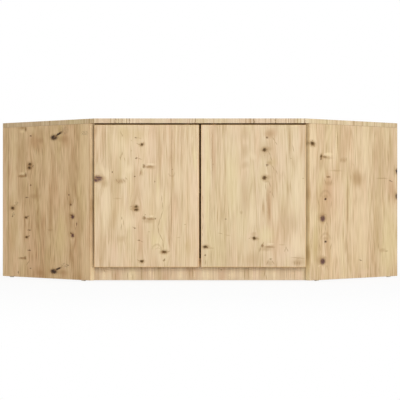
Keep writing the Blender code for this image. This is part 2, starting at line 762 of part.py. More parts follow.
def plate_mesh():
    base = bmesh.new()
    add_prism(base, plate_outline(), FIT, FIT + PLATE_THICKNESS, side_place)
    plate = add_object("plate blank", mesh_from(base, "plate blank"))
    half = ARM_HALF_WIDTH - ARM_WALL - FIT
    outline = [(BRIDGE_START, -half), (BRIDGE_END, -half), (BRIDGE_END, half), (BRIDGE_START, half)]
    top = ARM_LIFT - ARM_SHEET / 2 - ARM_STEP - FIT
    raised = bmesh.new()
    add_prism(raised, outline, FIT + PLATE_THICKNESS / 2, top, side_place)
    bridge = add_object("plate bridge", mesh_from(raised, "plate bridge"))
    boolean(plate, bridge, "UNION")
    holes = bmesh.new()
    for step in (-1, 1):
        seat = along_side(PLATE_SCREW_SETBACK, FIT + PLATE_THICKNESS, step * PLATE_SCREW_SPACING / 2)
        add_hole(holes, seat, v_direction(1), PLATE_THICKNESS + OVERRUN, SCREW_RADIUS + FIT)
    for back in (ADJUSTER_SETBACK, CLAMP_SETBACK):
        add_hole(holes, along_side(back, top), v_direction(1), top - PLATE_THICKNESS, SCREW_RADIUS + FIT)
    cut_with(plate, holes, "holes")
    return baked_mesh(plate, "hinge plate")


def make_hinges():
    pin = bmesh.new()
    add_rod(pin, (0, 0, -PIN_HALF_LENGTH), (0, 0, PIN_HALF_LENGTH), PIN_RADIUS)
    shapes = {
        "hinge_cup": (cup_mesh(), NICKEL),
        "hinge_arm": (arm_mesh(), NICKEL),
        "hinge_plate": (plate_mesh(), NICKEL),
        "hinge_pin": (mesh_from(pin, "hinge pin"), ZINC),
    }
    inward = Vector((0, 1, 0))
    hole = SCREW_RADIUS + FIT
    for label, side in SIDES.items():
        for height, step in HINGE_LEVELS.items():
            frame = hinge_frame(side, DOOR_MIDDLE + step * HINGE_OFFSET)
            for part, (mesh, finish) in shapes.items():
                add_object(f"{label}_{height}_{part}", mesh, finish, frame, smooth=True)
            for end in (-1, 1):
                rise = end * PLATE_SCREW_SPACING / 2
                wing = frame @ along_side(PLATE_SCREW_SETBACK, 0, rise)
                layer = bores(f"{label}_side_panel", "plate screws")
                add_hole(layer, wing, v_direction(side), SCREW_DEPTH, hole)
                ear = frame @ Vector((CUP_SCREW_X, DOOR_BACK, end * CUP_EAR_SPACING / 2))
                add_hole(bores(f"{label}_door", "cup screws"), ear, inward, SCREW_DEPTH, hole)
            bore = frame @ Vector((CUP_X, DOOR_BACK, 0))
            layer = bores(f"{label}_door", "cup bores")
            add_hole(layer, bore, inward, CUP_BORE_DEPTH, CUP_BORE_RADIUS, FINE_SIDES)


def make_door(label, side):
    """The door's origin is on its hinge axis, half way up."""
    inner = CENTRE_GAP / 2
    outline = [
        (side * inner, FRONT_Y),
        (side * HALF_FRONT, FRONT_Y),
        (side * HALF_FRONT, DOOR_INNER_Y),
        (side * inner, DOOR_INNER_Y),
    ]
    bm = bmesh.new()
    add_prism(bm, outline, DOOR_BOTTOM_LEVEL, DOOR_TOP_LEVEL)
    item = located(f"{label}_door", bm, OAK, (side * PIN_X, PIN_Y, DOOR_MIDDLE))
    chamfer(item)
    cut_bores(item)


# Push latches
def latch_outline():
    top = TOP_LEVEL - FIT - LATCH_LEVEL
    points = [(-LATCH_FLANGE_HALF_WIDTH, top), (-LATCH_FLANGE_HALF_WIDTH, top - LATCH_FLANGE)]
    points += [(-LATCH_BODY_RADIUS, top - LATCH_FLANGE)]
    points += arc((0, 0), LATCH_BODY_RADIUS, math.pi, math.tau)
    return points + [(-x, z) for x, z in reversed(points[:3])]


def make_latch(label, side):
    x = side * LATCH_FROM_MIDDLE
    tip_y = DOOR_INNER_Y + FIT
    inward = Vector((0, 1, 0))
    end_y = LATCH_FRONT_Y + LATCH_LENGTH

    def place(a, b, c):
        return (x + a, c, LATCH_LEVEL + b)

    body = bmesh.new()
    add_prism(body, latch_outline(), LATCH_FRONT_Y, end_y, place)
    housing = located(f"{label}_latch_housing", body, WHITE_PLASTIC, (x, LATCH_FRONT_Y, LATCH_LEVEL))
    bore = bmesh.new()
    front = Vector((x, LATCH_FRONT_Y, LATCH_LEVEL))
    depth = LATCH_LENGTH - LATCH_END_WALL
    add_hole(bore, front, -inward, depth, PLUNGER_RADIUS + FIT, ROUND_SIDES)
    cut_with(housing, bore, "bore")
    holes = bmesh.new()
    down = Vector((0, 0, -1))
    screw_places = {
        -1: LATCH_FRONT_Y + LATCH_SCREW_INSET,
        1: end_y - LATCH_SCREW_INSET,
    }
    for across, y in screw_places.items():
        level = TOP_LEVEL - FIT - LATCH_FLANGE
        seat = Vector((x + across * LATCH_SCREW_OFFSET, y, level))
        add_hole(holes, seat, down, LATCH_FLANGE + OVERRUN, SCREW_RADIUS + FIT)
        far = seat - down * (LATCH_FLANGE + FIT)
        add_hole(bores("top_panel", "latch screws"), far, down, SCREW_DEPTH, SCREW_RADIUS + FIT)
    cut_with(housing, holes, "screw holes")

    plunger = bmesh.new()
    profile = [
        (0, 0),
        (PLUNGER_NECK_RADIUS, 0),
        (PLUNGER_RADIUS, PLUNGER_RADIUS - PLUNGER_NECK_RADIUS),
        (PLUNGER_RADIUS, PLUNGER_TIP),
        (PLUNGER_NECK_RADIUS, PLUNGER_TIP),
        (PLUNGER_NECK_RADIUS, PLUNGER_TIP * 2),
        (PLUNGER_RADIUS, PLUNGER_TIP * 2),
        (PLUNGER_RADIUS, PLUNGER_LENGTH),
        (0, PLUNGER_LENGTH),
    ]
    add_turned(plunger, (x, tip_y, LATCH_LEVEL), inward, profile)
    located(f"{label}_latch_plunger", plunger, GREY_PLASTIC, (x, tip_y, LATCH_LEVEL), smooth=True)
    spring_start = tip_y + PLUNGER_LENGTH + FIT
    spring_end = end_y - LATCH_END_WALL - FIT
    make_spring(f"{label}_latch_spring", x, spring_start, spring_end)


def make_spring(name, x, start, end):
    """One unbroken coil of wire, its axis along Y."""
    rise = (end - start - SPRING_WIRE * 2) / SPRING_TURNS
    count = SPRING_TURNS * COIL_STEPS
    curve = bpy.data.curves.new(name, "CURVE")
    curve.dimensions = "3D"
    curve.bevel_depth = SPRING_WIRE
    curve.bevel_resolution = 1
    curve.use_fill_caps = True
    coil = curve.splines.new("POLY")
    coil.points.add(count)
    places = []
    for step in range(count + 1):
        angle = math.tau * step / COIL_STEPS
        y = SPRING_WIRE + rise * step / COIL_STEPS
        places.append(Vector((SPRING_RADIUS * math.cos(angle), y, SPRING_RADIUS * math.sin(angle))))
        coil.points[step].co = (*places[-1], 1)
    wire = bpy.data.objects.new(name, curve)
    bpy.context.collection.objects.link(wire)
    wire.location = (x, start, LATCH_LEVEL)
    curve.materials.append(finish_for(name, ZINC))
    near = min(
        (a - b).length for i, a in enumerate(places) for b in places[i + COIL_STEPS // 2 :]
    )
    print(f"{name}: least gap to itself {(near - SPRING_WIRE * 2) * 1000:.2f} mm")


def main():
    clear_scene()
    make_board_joints()
    make_shelf_pins()
    make_glides()
    make_hinges()
    for label, side in SIDES.items():
        make_plinth_block(label, side)
        make_latch(label, side)
    make_top()
    make_bottom()
    make_shelf()
    make_plinth()
    backs = {"left": WALL_LEG - BACK_INSET, "right": WALL_LEG - BACK_FACE - FIT}
    posts = {"left": WALL_LEG - CARCASS_REAR, "right": WALL_LEG - POST_FACE - FIT}
    for label, side in SIDES.items():
        make_side(label, side)
        make_back(label, side, backs[label])
        make_post(label, side, posts[label])
        make_door(label, side)


main()
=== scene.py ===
# Corner cabinet in knotty oak decor: finishes, small fittings, studio light and camera
import math

import bmesh
import bpy
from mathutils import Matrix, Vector


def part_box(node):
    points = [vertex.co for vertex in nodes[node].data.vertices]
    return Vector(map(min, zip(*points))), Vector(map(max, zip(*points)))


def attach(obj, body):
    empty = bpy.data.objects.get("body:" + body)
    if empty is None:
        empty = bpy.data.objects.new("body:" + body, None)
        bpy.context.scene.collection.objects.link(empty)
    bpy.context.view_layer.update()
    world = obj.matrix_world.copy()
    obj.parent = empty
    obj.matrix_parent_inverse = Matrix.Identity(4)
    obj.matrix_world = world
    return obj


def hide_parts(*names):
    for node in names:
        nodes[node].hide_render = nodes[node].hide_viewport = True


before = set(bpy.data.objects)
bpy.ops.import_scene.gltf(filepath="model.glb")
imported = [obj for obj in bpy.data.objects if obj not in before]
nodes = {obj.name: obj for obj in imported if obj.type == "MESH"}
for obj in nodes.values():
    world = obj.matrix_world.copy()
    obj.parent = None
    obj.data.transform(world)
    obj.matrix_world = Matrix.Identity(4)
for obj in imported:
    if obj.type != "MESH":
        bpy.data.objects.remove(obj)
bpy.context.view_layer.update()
print("frame loaded with", len(nodes), "pieces")

diagonal = math.sqrt(0.5)  # either part of a unit step at 45 degrees


# Shader helpers
class Wire:
    # One output of a node; arithmetic on it adds Math nodes
    def __init__(self, finish, socket):
        self.finish = finish
        self.socket = socket

    def __add__(self, other):
        return self.finish.calculate("ADD", self, other)

    def __radd__(self, other):
        return self.finish.calculate("ADD", other, self)

    def __sub__(self, other):
        return self.finish.calculate("SUBTRACT", self, other)

    def __rsub__(self, other):
        return self.finish.calculate("SUBTRACT", other, self)

    def __mul__(self, other):
        return self.finish.calculate("MULTIPLY", self, other)

    def __rmul__(self, other):
        return self.finish.calculate("MULTIPLY", other, self)

    def output(self, name):
        return Wire(self.finish, self.socket.node.outputs[name])


class Finish:
    # A material whose nodes are added one call at a time
    def __init__(self, name):
        self.material = bpy.data.materials.new(name)
        self.material.use_nodes = True
        self.tree = self.material.node_tree
        self.shader = self.tree.nodes["Principled BSDF"]

    def node(self, kind, settings=None, sockets=None, output=0):
        made = self.tree.nodes.new(kind)
        for name, value in (settings or {}).items():
            if name == "stops":
                self.setStops(made.color_ramp, value)
            else:
                setattr(made, name, value)
        for key, value in (sockets or {}).items():
            self.feed(made.inputs[key], value)
        return Wire(self, made.outputs[output])

    def feed(self, socket, value):
        if isinstance(value, Wire):
            self.tree.links.new(value.socket, socket)
        else:
            socket.default_value = value

    def setStops(self, ramp, stops):
        while len(ramp.elements) < len(stops):
            ramp.elements.new(1)
        for element, (position, stopColour) in zip(ramp.elements, stops):
            element.position = position
            element.color = (*stopColour, 1)

    def coordinates(self, kind="Object"):
        return self.node("ShaderNodeTexCoord").output(kind)

    def facing(self, direction):
        # How far the surface looks along a direction, 1 for straight along it
        return self.vector("DOT_PRODUCT", self.coordinates("Normal"), direction, output=1)

    def scaled(self, vector, scale, shift=(0, 0, 0)):
        return self.node("ShaderNodeMapping", {}, {"Vector": vector, "Location": shift, "Scale": scale})

    def local(self, vector, place, turn=(0, 0, 0), size=(1, 1, 1)):
        # Coordinates in a frame that stands at place, turned, with size as its unit
        sockets = {"Vector": vector, "Location": place, "Rotation": turn, "Scale": size}
        return self.node("ShaderNodeMapping", {"vector_type": "TEXTURE"}, sockets)

    def vector(self, operation, *values, output=0):
        return self.node("ShaderNodeVectorMath", {"operation": operation}, dict(enumerate(values)), output)

    def length(self, value):
        return self.vector("LENGTH", value, output=1)

    def axes(self, value):
        made = self.node("ShaderNodeSeparateXYZ", {}, {0: value})
        return made, made.output("Y"), made.output("Z")

    def calculate(self, operation, *values):
        return self.node("ShaderNodeMath", {"operation": operation}, dict(enumerate(values)))

    def absolute(self, value):
        return self.calculate("ABSOLUTE", value)

    def noise(self, vector, scale, detail=2, roughness=0.5, shift=(0, 0, 0), distortion=0):
        sockets = {"Vector": self.scaled(vector, scale, shift), "Scale": 1, "Detail": detail}
        sockets.update({"Roughness": roughness, "Distortion": distortion})
        return self.node("ShaderNodeTexNoise", {}, sockets)

    def wander(self, place, noise, reach):
        # A place moved by a noise's three channels, each about zero
        centred = self.vector("SUBTRACT", noise.output("Color"), (0.5, 0.5, 0.5))
        return self.vector("MULTIPLY_ADD", centred, reach, place)

    def join(self, x, y, z):
        return self.node("ShaderNodeCombineXYZ", {}, {0: x, 1: y, 2: z})

    def smooth(self, value, low, high, lowOut=0, highOut=1):
        sockets = {"Value": value, "From Min": low, "From Max": high, "To Min": lowOut, "To Max": highOut}
        return self.node("ShaderNodeMapRange", {"interpolation_type": "SMOOTHSTEP"}, sockets)

    def ramp(self, value, stops):
        return self.node("ShaderNodeValToRGB", {"stops": stops}, {0: value})

    def mix(self, share, first, second, blend="MIX"):
        settings = {"data_type": "RGBA", "blend_type": blend}
        return self.node("ShaderNodeMix", settings, {0: share, 6: first, 7: second}, 2)

    def bump(self, height, strength, distance):
        return self.node("ShaderNodeBump", {}, {"Height": height, "Strength": strength, "Distance": distance})

    def set(self, **values):
        for name, value in values.items():
            words = "".join(" " + letter if letter.isupper() else letter for letter in name)
            self.feed(self.shader.inputs[words.title()], value)
        return self.material


def tone(red, green, blue):
    # A colour written as it shows on screen, 0 to 255, with the screen's curve undone
    def straight(value):
        share = value / 255
        return share / 12.92 if share <= 0.04045 else ((share + 0.055) / 1.055) ** 2.4

    return (straight(red), straight(green), straight(blue))


def colour(red, green, blue):
    return (*tone(red, green, blue), 1)


# Knotty oak decor. A board's frame has x across the grain, y through the board and z along the grain;
# a scale is in patches per metre along each of them.
oak = {
    "ramp": [
        (0.00, tone(160, 126, 90)),
        (0.28, tone(198, 170, 133)),
        (0.50, tone(222, 199, 166)),
        (0.74, tone(235, 215, 184)),
        (1.00, tone(245, 230, 204)),
    ],
    "middle": 0.52,
    "streaks": [  # scale, and how much each shows
        ((300, 0, 24), 0.62),
        ((150, 0, 8), 0.21),
        ((62, 0, 3.2), 0.19),
        ((22, 0, 1.7), 0.44),
    ],
    "dashes": {"scale": (230, 0, 20), "between": (0.62, 0.78), "share": 0.12},
    "lines": {"scale": (26, 0, 2.4), "twist": 0.4, "count": 11, "width": 0.20, "share": 0.09},
    "linedFields": {"scale": (20, 0, 4.5), "between": (0.44, 0.62)},
    "hues": [
        {
            "scale": (26, 0, 5),
            "stops": [(0.34, (1.0, 0.966, 0.952)), (0.50, (1.0, 1.0, 1.0)), (0.66, (0.982, 0.996, 0.940))],
        },
        {
            "scale": (12, 0, 2.6),
            "stops": [(0.36, (1.0, 0.972, 0.962)), (0.50, (1.0, 1.0, 1.0)), (0.64, (0.984, 1.0, 0.948))],
        },
    ],
    "sway": {"scale": (22, 0, 6), "reach": 0.0025},  # of the grain
    "drift": {"scale": (13, 0, 5), "reach": (0.014, 0, 0.060)},  # of the broad tones
    "ragged": {"scale": (230, 230, 230), "reach": (0.010, 0, 0.008)},  # the edges of broad marks
    "steady": {"scale": (70, 70, 70), "reach": (0.003, 0, 0.006)},  # the edges of thin marks
    # How the grain gives way to a knot, for each millimetre of its half width
    "bend": {"least": 5, "most": 9, "across": 0.0042, "along": 0.0085, "push": 0.0026},
    # Painted shade: a darker rim on the door faces near their edges, for the shaded gaps round the doors
    "rim": {"start": 0.0019, "full": 0.0009, "tint": colour(232, 205, 158)},
    # The doors' edge band: its own colour, made lighter as painted light for the shaded grooves beside the doors
    "band": colour(247, 230, 202),
    "roughness": {"between": (0.3, 0.8), "dark": 0.62, "pale": 0.46},  # of dark grain and of pale wood
    "shine": 0.18,
    "bump": {"strength": 0.12, "distance": 0.0006},
    "batch": 14,
}

# Marks in the decor, in the order in which they are painted: colour, how strongly it covers, and the share of
# its radius that it covers fully
markKinds = {
    "pale": {"colour": colour(244, 226, 190), "cover": 0.62, "full": 0.2},
    "smudge": {"colour": colour(176, 144, 102), "cover": 0.46, "full": 0.1},
    "purple": {"colour": colour(106, 76, 72), "cover": 1.0, "full": 0.45, "halo": 2.3, "heart": colour(88, 60, 56)},
    "dark": {"colour": colour(70, 50, 36), "cover": 1.0, "full": 0.45, "halo": 2.0, "heart": colour(52, 38, 32)},
    "dot": {"colour": colour(78, 50, 24), "cover": 0.95, "full": 0.6},
    "arc": {"colour": colour(166, 134, 94), "cover": 0.32, "thin": 0.30},
    "line": {"colour": colour(162, 128, 86), "cover": 0.60, "full": 0.4},
    "bar": {"colour": colour(164, 132, 90), "cover": 0.80, "full": 0.25},
    "spot": {"colour": colour(142, 112, 72), "cover": 0.85, "full": 0.3},
    "knot": {"colour": colour(106, 80, 42), "cover": 1.0, "full": 0.35, "halo": 2.4, "heart": colour(74, 53, 26)},
    "pepper": {"colour": colour(92, 64, 38), "cover": 0.95, "scale": (420, 0, 420), "between": (0.54, 0.63)},
    "pin": {"colour": colour(112, 82, 48), "cover": 0.92, "full": 0.4},
    "thread": {"colour": colour(158, 124, 82), "cover": 0.66, "full": 0.3},
    "streak": {"colour": colour(166, 134, 92), "cover": 0.60, "full": 0.2},
}
# The soft shade round a knot, and its darker heart: sizes are shares of the knot's, from half width 4 mm up
knotHalo = {"colour": colour(180, 146, 102), "cover": 0.66, "full": 0.2}
knotHeart = {"least": 4, "size": 0.5, "shift": (-0.15, 0.20), "cover": 0.9}

# Broad stripes and patches of the wood, painted in this order below the marks: colour and how strongly it covers
toneKinds = {
    "rosy": {"colour": colour(198, 160, 124), "cover": 0.50},
    "sallow": {"colour": colour(230, 214, 168), "cover": 0.52},
    "glow": {"colour": colour(238, 218, 184), "cover": 0.50},
    "shade": {"colour": colour(190, 160, 120), "cover": 0.42},
    "tan": {"colour": colour(204, 180, 132), "cover": 0.48},
    "pink": {"colour": colour(232, 206, 178), "cover": 0.45},
}

# Where a patch begins to show and where it covers fully, as shares of its size
fades = {"tone": (1.6, 0.2), "mark": 1.4, "heart": (1.3, 0.3), "pepper": (1.1, 0.4), "arcEnds": (0, 0.5)}
# How squarely a face looks along a direction, from where it doesn't count yet to where it counts fully
facings = {
    "edge": (0.90, 0.97),
    "broad": (0.80, 0.90),
    "front": (0.75, 0.95),
    "level": (0.2, 0.6),
    "inner": (0.4, 0.6),
}

# Each board's tones and marks, in millimetres: across, along, half width, half height, and for a mark that leans
# its lean in degrees
leftDoor = {
    "nodes": ["left_door"],
    "tint": colour(247, 245, 242),
    "rim": True,
    "stretch": 0.55,
    "seed": 3,
    "tones": {
        "rosy": [(-200, 140, 9.3, 66)],
        "sallow": [(-142, 315, 6.7, 42), (-150, 134, 15.2, 27), (-16, 411, 6.4, 37)],
        "glow": [
            (-345, 485, 5.9, 40), (-290, 465, 13.5, 64), (-182, 466, 5.1, 49), (-238, 374, 15.2, 13),
            (-322, 374, 21.9, 17), (-315, 263, 14.3, 94), (-243, 205, 20.2, 24), (-140, 273, 8.4, 37),
            (-51, 354, 8.4, 125), (-73, 343, 8.4, 67),
        ],
        "shade": [
            (-326, 473, 7.6, 52), (-135, 458, 6.7, 67), (-279, 337, 19.4, 61), (-214, 296, 15.2, 34),
            (-289, 225, 7.6, 57), (-263, 145, 16.9, 13), (-331, 101, 13.5, 54), (-96, 380, 6.2, 152),
            (-103, 168, 3.4, 61), (-216, 357, 10.1, 27),
        ],
        "tan": [(-255, 490, 21.9, 25), (-207, 498, 19, 30), (-39, 116, 8.4, 39)],
        "pink": [(-160, 451, 15.2, 81), (-292, 86, 15.2, 39), (-21, 298, 13.5, 72)],
    },
    "marks": {
        "pale": [(-165, 396, 16.2, 2.7), (-163, 221, 9.8, 2.4)],
        "smudge": [
            (-204, 483, 8.1, 2.4, 12), (-231, 475, 2, 2.4), (-231, 441, 2, 3), (-165, 384, 16.9, 6.1),
            (-198, 370, 5.4, 13.5), (-268, 339, 20.9, 10.1), (-324, 331, 15.5, 14.2), (-277, 280, 15.5, 2),
            (-225, 248, 13.5, 10.1), (-174, 204, 21.9, 8.8), (-124, 98, 12.8, 6.1), (-74, 149, 7.4, 2),
        ],
        "purple": [(-345, 347, 14.8, 9.8), (-342, 351, 12.8, 3, 4), (-352, 341, 5.4, 5.7, 30)],
        "arc": [(-97, 370, 10.8, 15.5, 165), (-146, 105, 15.5, 20.2), (-141, 105, 9.4, 8.1, 10)],
        "line": [
            (-96, 428, 1.3, 97.7), (-319, 445, 1, 80.9), (-304, 411, 0.8, 101.1), (-97, 222, 1.5, 101.1),
            (-105, 188, 1, 57.3),
        ],
        "bar": [(-170, 387, 15.4, 4.2), (-167, 211, 16, 4.6)],
        "spot": [
            (-189, 389, 4.8, 7), (-152, 337, 2, 2.7), (-93, 378, 1.7, 2), (-188, 215, 6, 7),
            (-151, 212, 3, 3.4), (-121, 73, 2.7, 5.7, 28), (-206, 139, 4.7, 2.2, 10),
        ],
        "knot": [
            (-195, 532, 8.8, 3), (-196, 462, 6.4, 4.6, -25), (-215, 252, 7.8, 4.8), (-215, 242, 7.8, 4.8),
            (-121, 100, 9.4, 5.6), (-196, 68, 6.8, 4.6, -10),
        ],
        "pin": [
            (-216, 485, 4.4, 2), (-215, 416, 4.4, 2), (-295, 369, 1.7, 3), (-220, 354, 3.4, 2),
            (-122, 99, 4, 2.4), (-220, 180, 2.7, 2),
        ],
        "thread": [
            (-266, 500, 1.2, 8.8, -14), (-262, 492, 1, 5.4, 18), (-208, 464, 7.4, 1.3, 22),
            (-191, 467, 3, 1.3, -45), (-266, 424, 1.2, 9.4, 14), (-269, 416, 1.2, 7.4, -14),
            (-262, 431, 1, 6.7, -8), (-254, 411, 1, 6.7, -12), (-203, 414, 8.8, 1.2, 14),
            (-201, 366, 1.7, 10.1, 16), (-281, 341, 1.3, 6.1, -30), (-275, 335, 1.3, 6.4, 28),
            (-270, 337, 1.3, 8.1, 6), (-264, 338, 1.3, 7.4, -10), (-256, 341, 1.3, 6.7, -30),
            (-249, 347, 1.3, 5.4, -40), (-233, 254, 3.7, 1.2), (-233, 244, 3.7, 1.2), (-216, 259, 1.7, 2.7),
            (-185, 226, 1.7, 2.7, -30), (-129, 281, 1.2, 10.8), (-126, 254, 1.2, 16.9, -6),
            (-130, 224, 1.3, 15.5, 16), (-139, 198, 1.3, 13.5, 14), (-140, 173, 1.3, 12.8, -8),
            (-131, 149, 1.3, 14.8, -26), (-124, 121, 1.3, 14.8, -4), (-106, 102, 5.4, 1.2, -14),
            (-208, 72, 5.7, 1.3, 24), (-225, 183, 4.4, 1.2, 20), (-196, 135, 5.4, 1, 20), (-172, 167, 4.4, 1.2),
            (-51, 193, 3.7, 1.2), (-264, 213, 1.7, 5.4), (-265, 185, 1.2, 13.5, 6), (-258, 198, 1, 11.5, -6),
        ],
    },
}
rightDoor = {
    "nodes": ["right_door"],
    "tint": colour(243, 242, 239),
    "rim": True,
    "stretch": 0.55,
    "seed": 8,
    "tones": {
        "rosy": [(47, 426, 6.7, 106), (237, 505, 21.9, 17), (233, 264, 9.3, 76)],
        "sallow": [(25, 332, 9.8, 201), (110, 345, 22.7, 86), (221, 160, 27.8, 25)],
        "glow": [
            (177, 424, 14.3, 13), (337, 308, 16.9, 76), (328, 123, 25.3, 42), (177, 229, 11.8, 61),
            (74, 384, 6.7, 108), (254, 239, 11.8, 51),
        ],
        "shade": [
            (150, 495, 14.3, 24), (150, 431, 14.3, 27), (150, 382, 14.3, 12), (151, 289, 15.2, 54),
            (219, 448, 23.6, 30), (301, 473, 5.1, 52), (296, 308, 4.7, 52), (284, 202, 18.5, 74),
            (315, 203, 15.2, 33), (178, 77, 30.3, 24), (332, 65, 21.9, 19), (214, 249, 5.1, 27),
        ],
        "tan": [(243, 404, 16, 13)],
        "pink": [(10, 303, 5.2, 222), (273, 431, 16.9, 81), (175, 158, 18.5, 13), (279, 86, 30.3, 39)],
    },
    "marks": {
        "pale": [(237, 127, 11.5, 3)],
        "smudge": [
            (234, 498, 14.8, 14.2), (229, 447, 14.2, 8.8), (234, 400, 10.1, 6.7), (227, 352, 14.2, 9.4),
            (225, 338, 10.1, 5.4), (230, 256, 4.4, 57.3), (139, 233, 5.1, 6.1), (181, 161, 9.4, 8.1),
            (222, 110, 23.6, 8.1), (38, 113, 10.1, 2.7), (235, 62, 14.8, 12.1), (275, 124, 8.8, 2.4),
            (327, 64, 16.9, 11.5),
        ],
        "line": [(40, 438, 1.4, 101.1), (33, 242, 1.2, 80.9), (37, 81, 1.2, 30.3), (302, 466, 1.4, 49.2)],
        "bar": [(234, 117, 17.4, 4.4, 3)],
        "spot": [(210, 121, 6, 6.4), (237, 76, 5.1, 3)],
        "knot": [(217, 444, 7.4, 7.2), (217, 350, 7.4, 7), (183, 146, 7.6, 5.4, 8), (18, 117, 8.8, 5.6, -4)],
        "pin": [(225, 486, 4.4, 3.6), (226, 393, 4.8, 3.6), (86, 211, 3.7, 1.3), (17, 89, 3.8, 3)],
        "thread": [
            (44, 395, 1.3, 3), (217, 426, 1.3, 1.3), (234, 432, 1.2, 8.8, -22), (240, 414, 1.2, 8.8, -18),
            (248, 480, 1.2, 8.1, -28), (256, 467, 1.2, 6.7, -30), (246, 384, 1.2, 10.1, -26),
            (258, 369, 1.2, 8.8, -20), (235, 327, 1.2, 10.8, -20), (222, 320, 1.2, 11.5),
            (306, 416, 2.4, 1.7, 30), (314, 448, 1.2, 13.5, -8), (347, 348, 2.7, 1.5), (236, 302, 1.7, 3),
            (245, 293, 1.2, 11.5, -14), (225, 289, 1.2, 23.6), (212, 252, 1.3, 20.2), (234, 229, 1.2, 27),
            (69, 162, 9.4, 1, 12), (92, 157, 9.4, 1, 8), (9, 279, 1, 13.5), (10, 222, 1.2, 10.1, -8),
            (9, 185, 1.2, 14.8, 4), (8, 158, 1, 6.7, -12), (166, 147, 2, 1.7), (196, 144, 5.4, 1, 14),
            (213, 129, 1.3, 5.4, 14), (202, 108, 1.7, 8.1, 18), (18, 65, 1.2, 8.8, 6), (227, 64, 1.3, 8.8, 26),
            (246, 65, 1.3, 8.1, -30), (290, 112, 1.5, 5.4), (286, 105, 1.2, 4.7, 14), (295, 106, 1.2, 6.1, -10),
            (329, 80, 22.2, 1.2, 5), (318, 62, 1.2, 7.4), (327, 62, 1.2, 8.1), (335, 62, 1.2, 6.1),
        ],
    },
}
leftSide = {
    "nodes": ["left_side_panel"],
    "place": (-0.707107, -0.178545, 0),
    "turn": -45,
    # Painted shade: the tint is warmer and darker than the doors', for the side that turns away from the light
    "tint": colour(242, 230, 212),
    # The front end face is tinted lighter: painted light in the shaded groove beside the left door
    "paintedLightByFacing": [((diagonal, -diagonal, 0), colour(255, 252, 240))],
    "fineness": 0.72,
    "stretch": 0.7,
    "contrast": 1.6,
    "seed": 14,
    "tones": {
        "rosy": [(188, 469, 45.4, 28), (206, 19, 30.1, 23), (346, 482, 22, 24), (340, 20, 20, 20)],
        "sallow": [(28, 273, 4.6, 275), (326, 161, 25.3, 84)],
        "glow": [
            (253, 401, 16.2, 90), (353, 394, 9.8, 60), (451, 396, 36.1, 127), (231, 267, 21.8, 44),
            (456, 59, 33.4, 61), (162, 517, 24.9, 16), (195, 374, 8.2, 49), (64, 372, 8.5, 82),
            (325, 335, 18.6, 24),
        ],
        "shade": [
            (111, 432, 26.6, 57), (284, 349, 12.1, 87), (384, 361, 19.6, 92), (135, 265, 13.1, 32),
            (266, 233, 12.1, 68), (366, 269, 17.1, 21), (373, 101, 10.2, 44), (213, 512, 20.5, 19),
            (422, 206, 20.8, 53), (105, 308, 21.1, 53),
        ],
        "tan": [(61, 166, 19.9, 110)],
        "pink": [(10, 272, 12.1, 276), (172, 60, 31.8, 23), (159, 125, 22.2, 25)],
    },
    "marks": {
        "pale": [(109, 517, 14.6, 5.7), (111, 369, 20.2, 5.3)],
        "smudge": [
            (114, 530, 23.5, 3.2), (110, 529, 24, 4.5), (211, 483, 20.8, 11.5), (201, 454, 4.9, 22.7, -12),
            (334, 485, 29.2, 12.4), (111, 359, 25.8, 5.3), (179, 288, 27.6, 10.5), (111, 68, 23.5, 4.2),
            (211, 21, 23, 9.8), (373, 264, 13.7, 10.3), (377, 223, 16.8, 11.6), (377, 158, 16.8, 12.3),
            (265, 171, 15.1, 4.2), (328, 26, 29.2, 9.6),
        ],
        "purple": [(384, 218, 8.9, 7.5), (384, 154, 7.3, 6.8)],
        "dark": [
            (285, 491, 17.7, 8.7), (311, 503, 18.1, 3.3, -20), (284, 28, 17.2, 8.3), (308, 38, 16, 3.1, -17),
        ],
        "arc": [(298, 478, 16, 18, 20)],
        "line": [(31, 283, 3.1, 285.6), (473, 276, 1.8, 270.4)],
        "bar": [(108, 359, 21, 4.8), (109, 70, 20, 3.6)],
        "spot": [(130, 524, 6, 7.8), (130, 363, 7, 8.5), (127, 71, 6.5, 6.5)],
        "knot": [
            (153, 400, 10.8, 6.4), (151, 388, 10.8, 6.2), (57, 246, 10.8, 6.4), (132, 213, 8.4, 4.1),
            (135, 144, 8.4, 4.1),
        ],
        "pepper": [
            (338, 514, 28, 18), (446, 502, 21.7, 10.2), (81, 262, 14.7, 9.2), (61, 224, 9.1, 8.5),
            (342, 49, 22.2, 11.7),
        ],
        "pin": [
            (158, 500, 5.5, 2.5), (171, 396, 5, 1.2), (171, 391, 5, 1.2), (158, 327, 5.5, 2.6),
            (137, 284, 8.4, 1.9), (56, 217, 3.4, 3.9), (145, 218, 6.7, 1.4, -16), (153, 169, 7.2, 1.8),
            (143, 170, 5, 1.1, -13), (147, 148, 6.7, 1.4, -16), (153, 98, 6.7, 1.8), (145, 99, 4.4, 1.1, -13),
            (157, 35, 5.5, 2.1), (89, 19, 2.3, 4.6), (364, 293, 3.2, 3.8), (374, 259, 5.8, 3.8),
            (377, 223, 6.8, 2.4, 17), (405, 193, 3.1, 6.5), (375, 161, 5.2, 2.4, 17), (360, 51, 3.7, 2.1),
        ],
        "streak": [
            (192, 451, 2.7, 19.3, 9), (223, 443, 2.7, 15.7, -8), (68, 254, 2.8, 5.7, -43),
            (124, 204, 2.2, 7.8, -16), (142, 53, 2.5, 12.7, 48), (358, 279, 2.1, 10.3, -12),
            (388, 271, 2.1, 10.2, 18), (399, 177, 2.1, 10.2, 22), (372, 98, 2.9, 39.4, 2),
            (387, 112, 1.8, 23.9),
        ],
    },
}
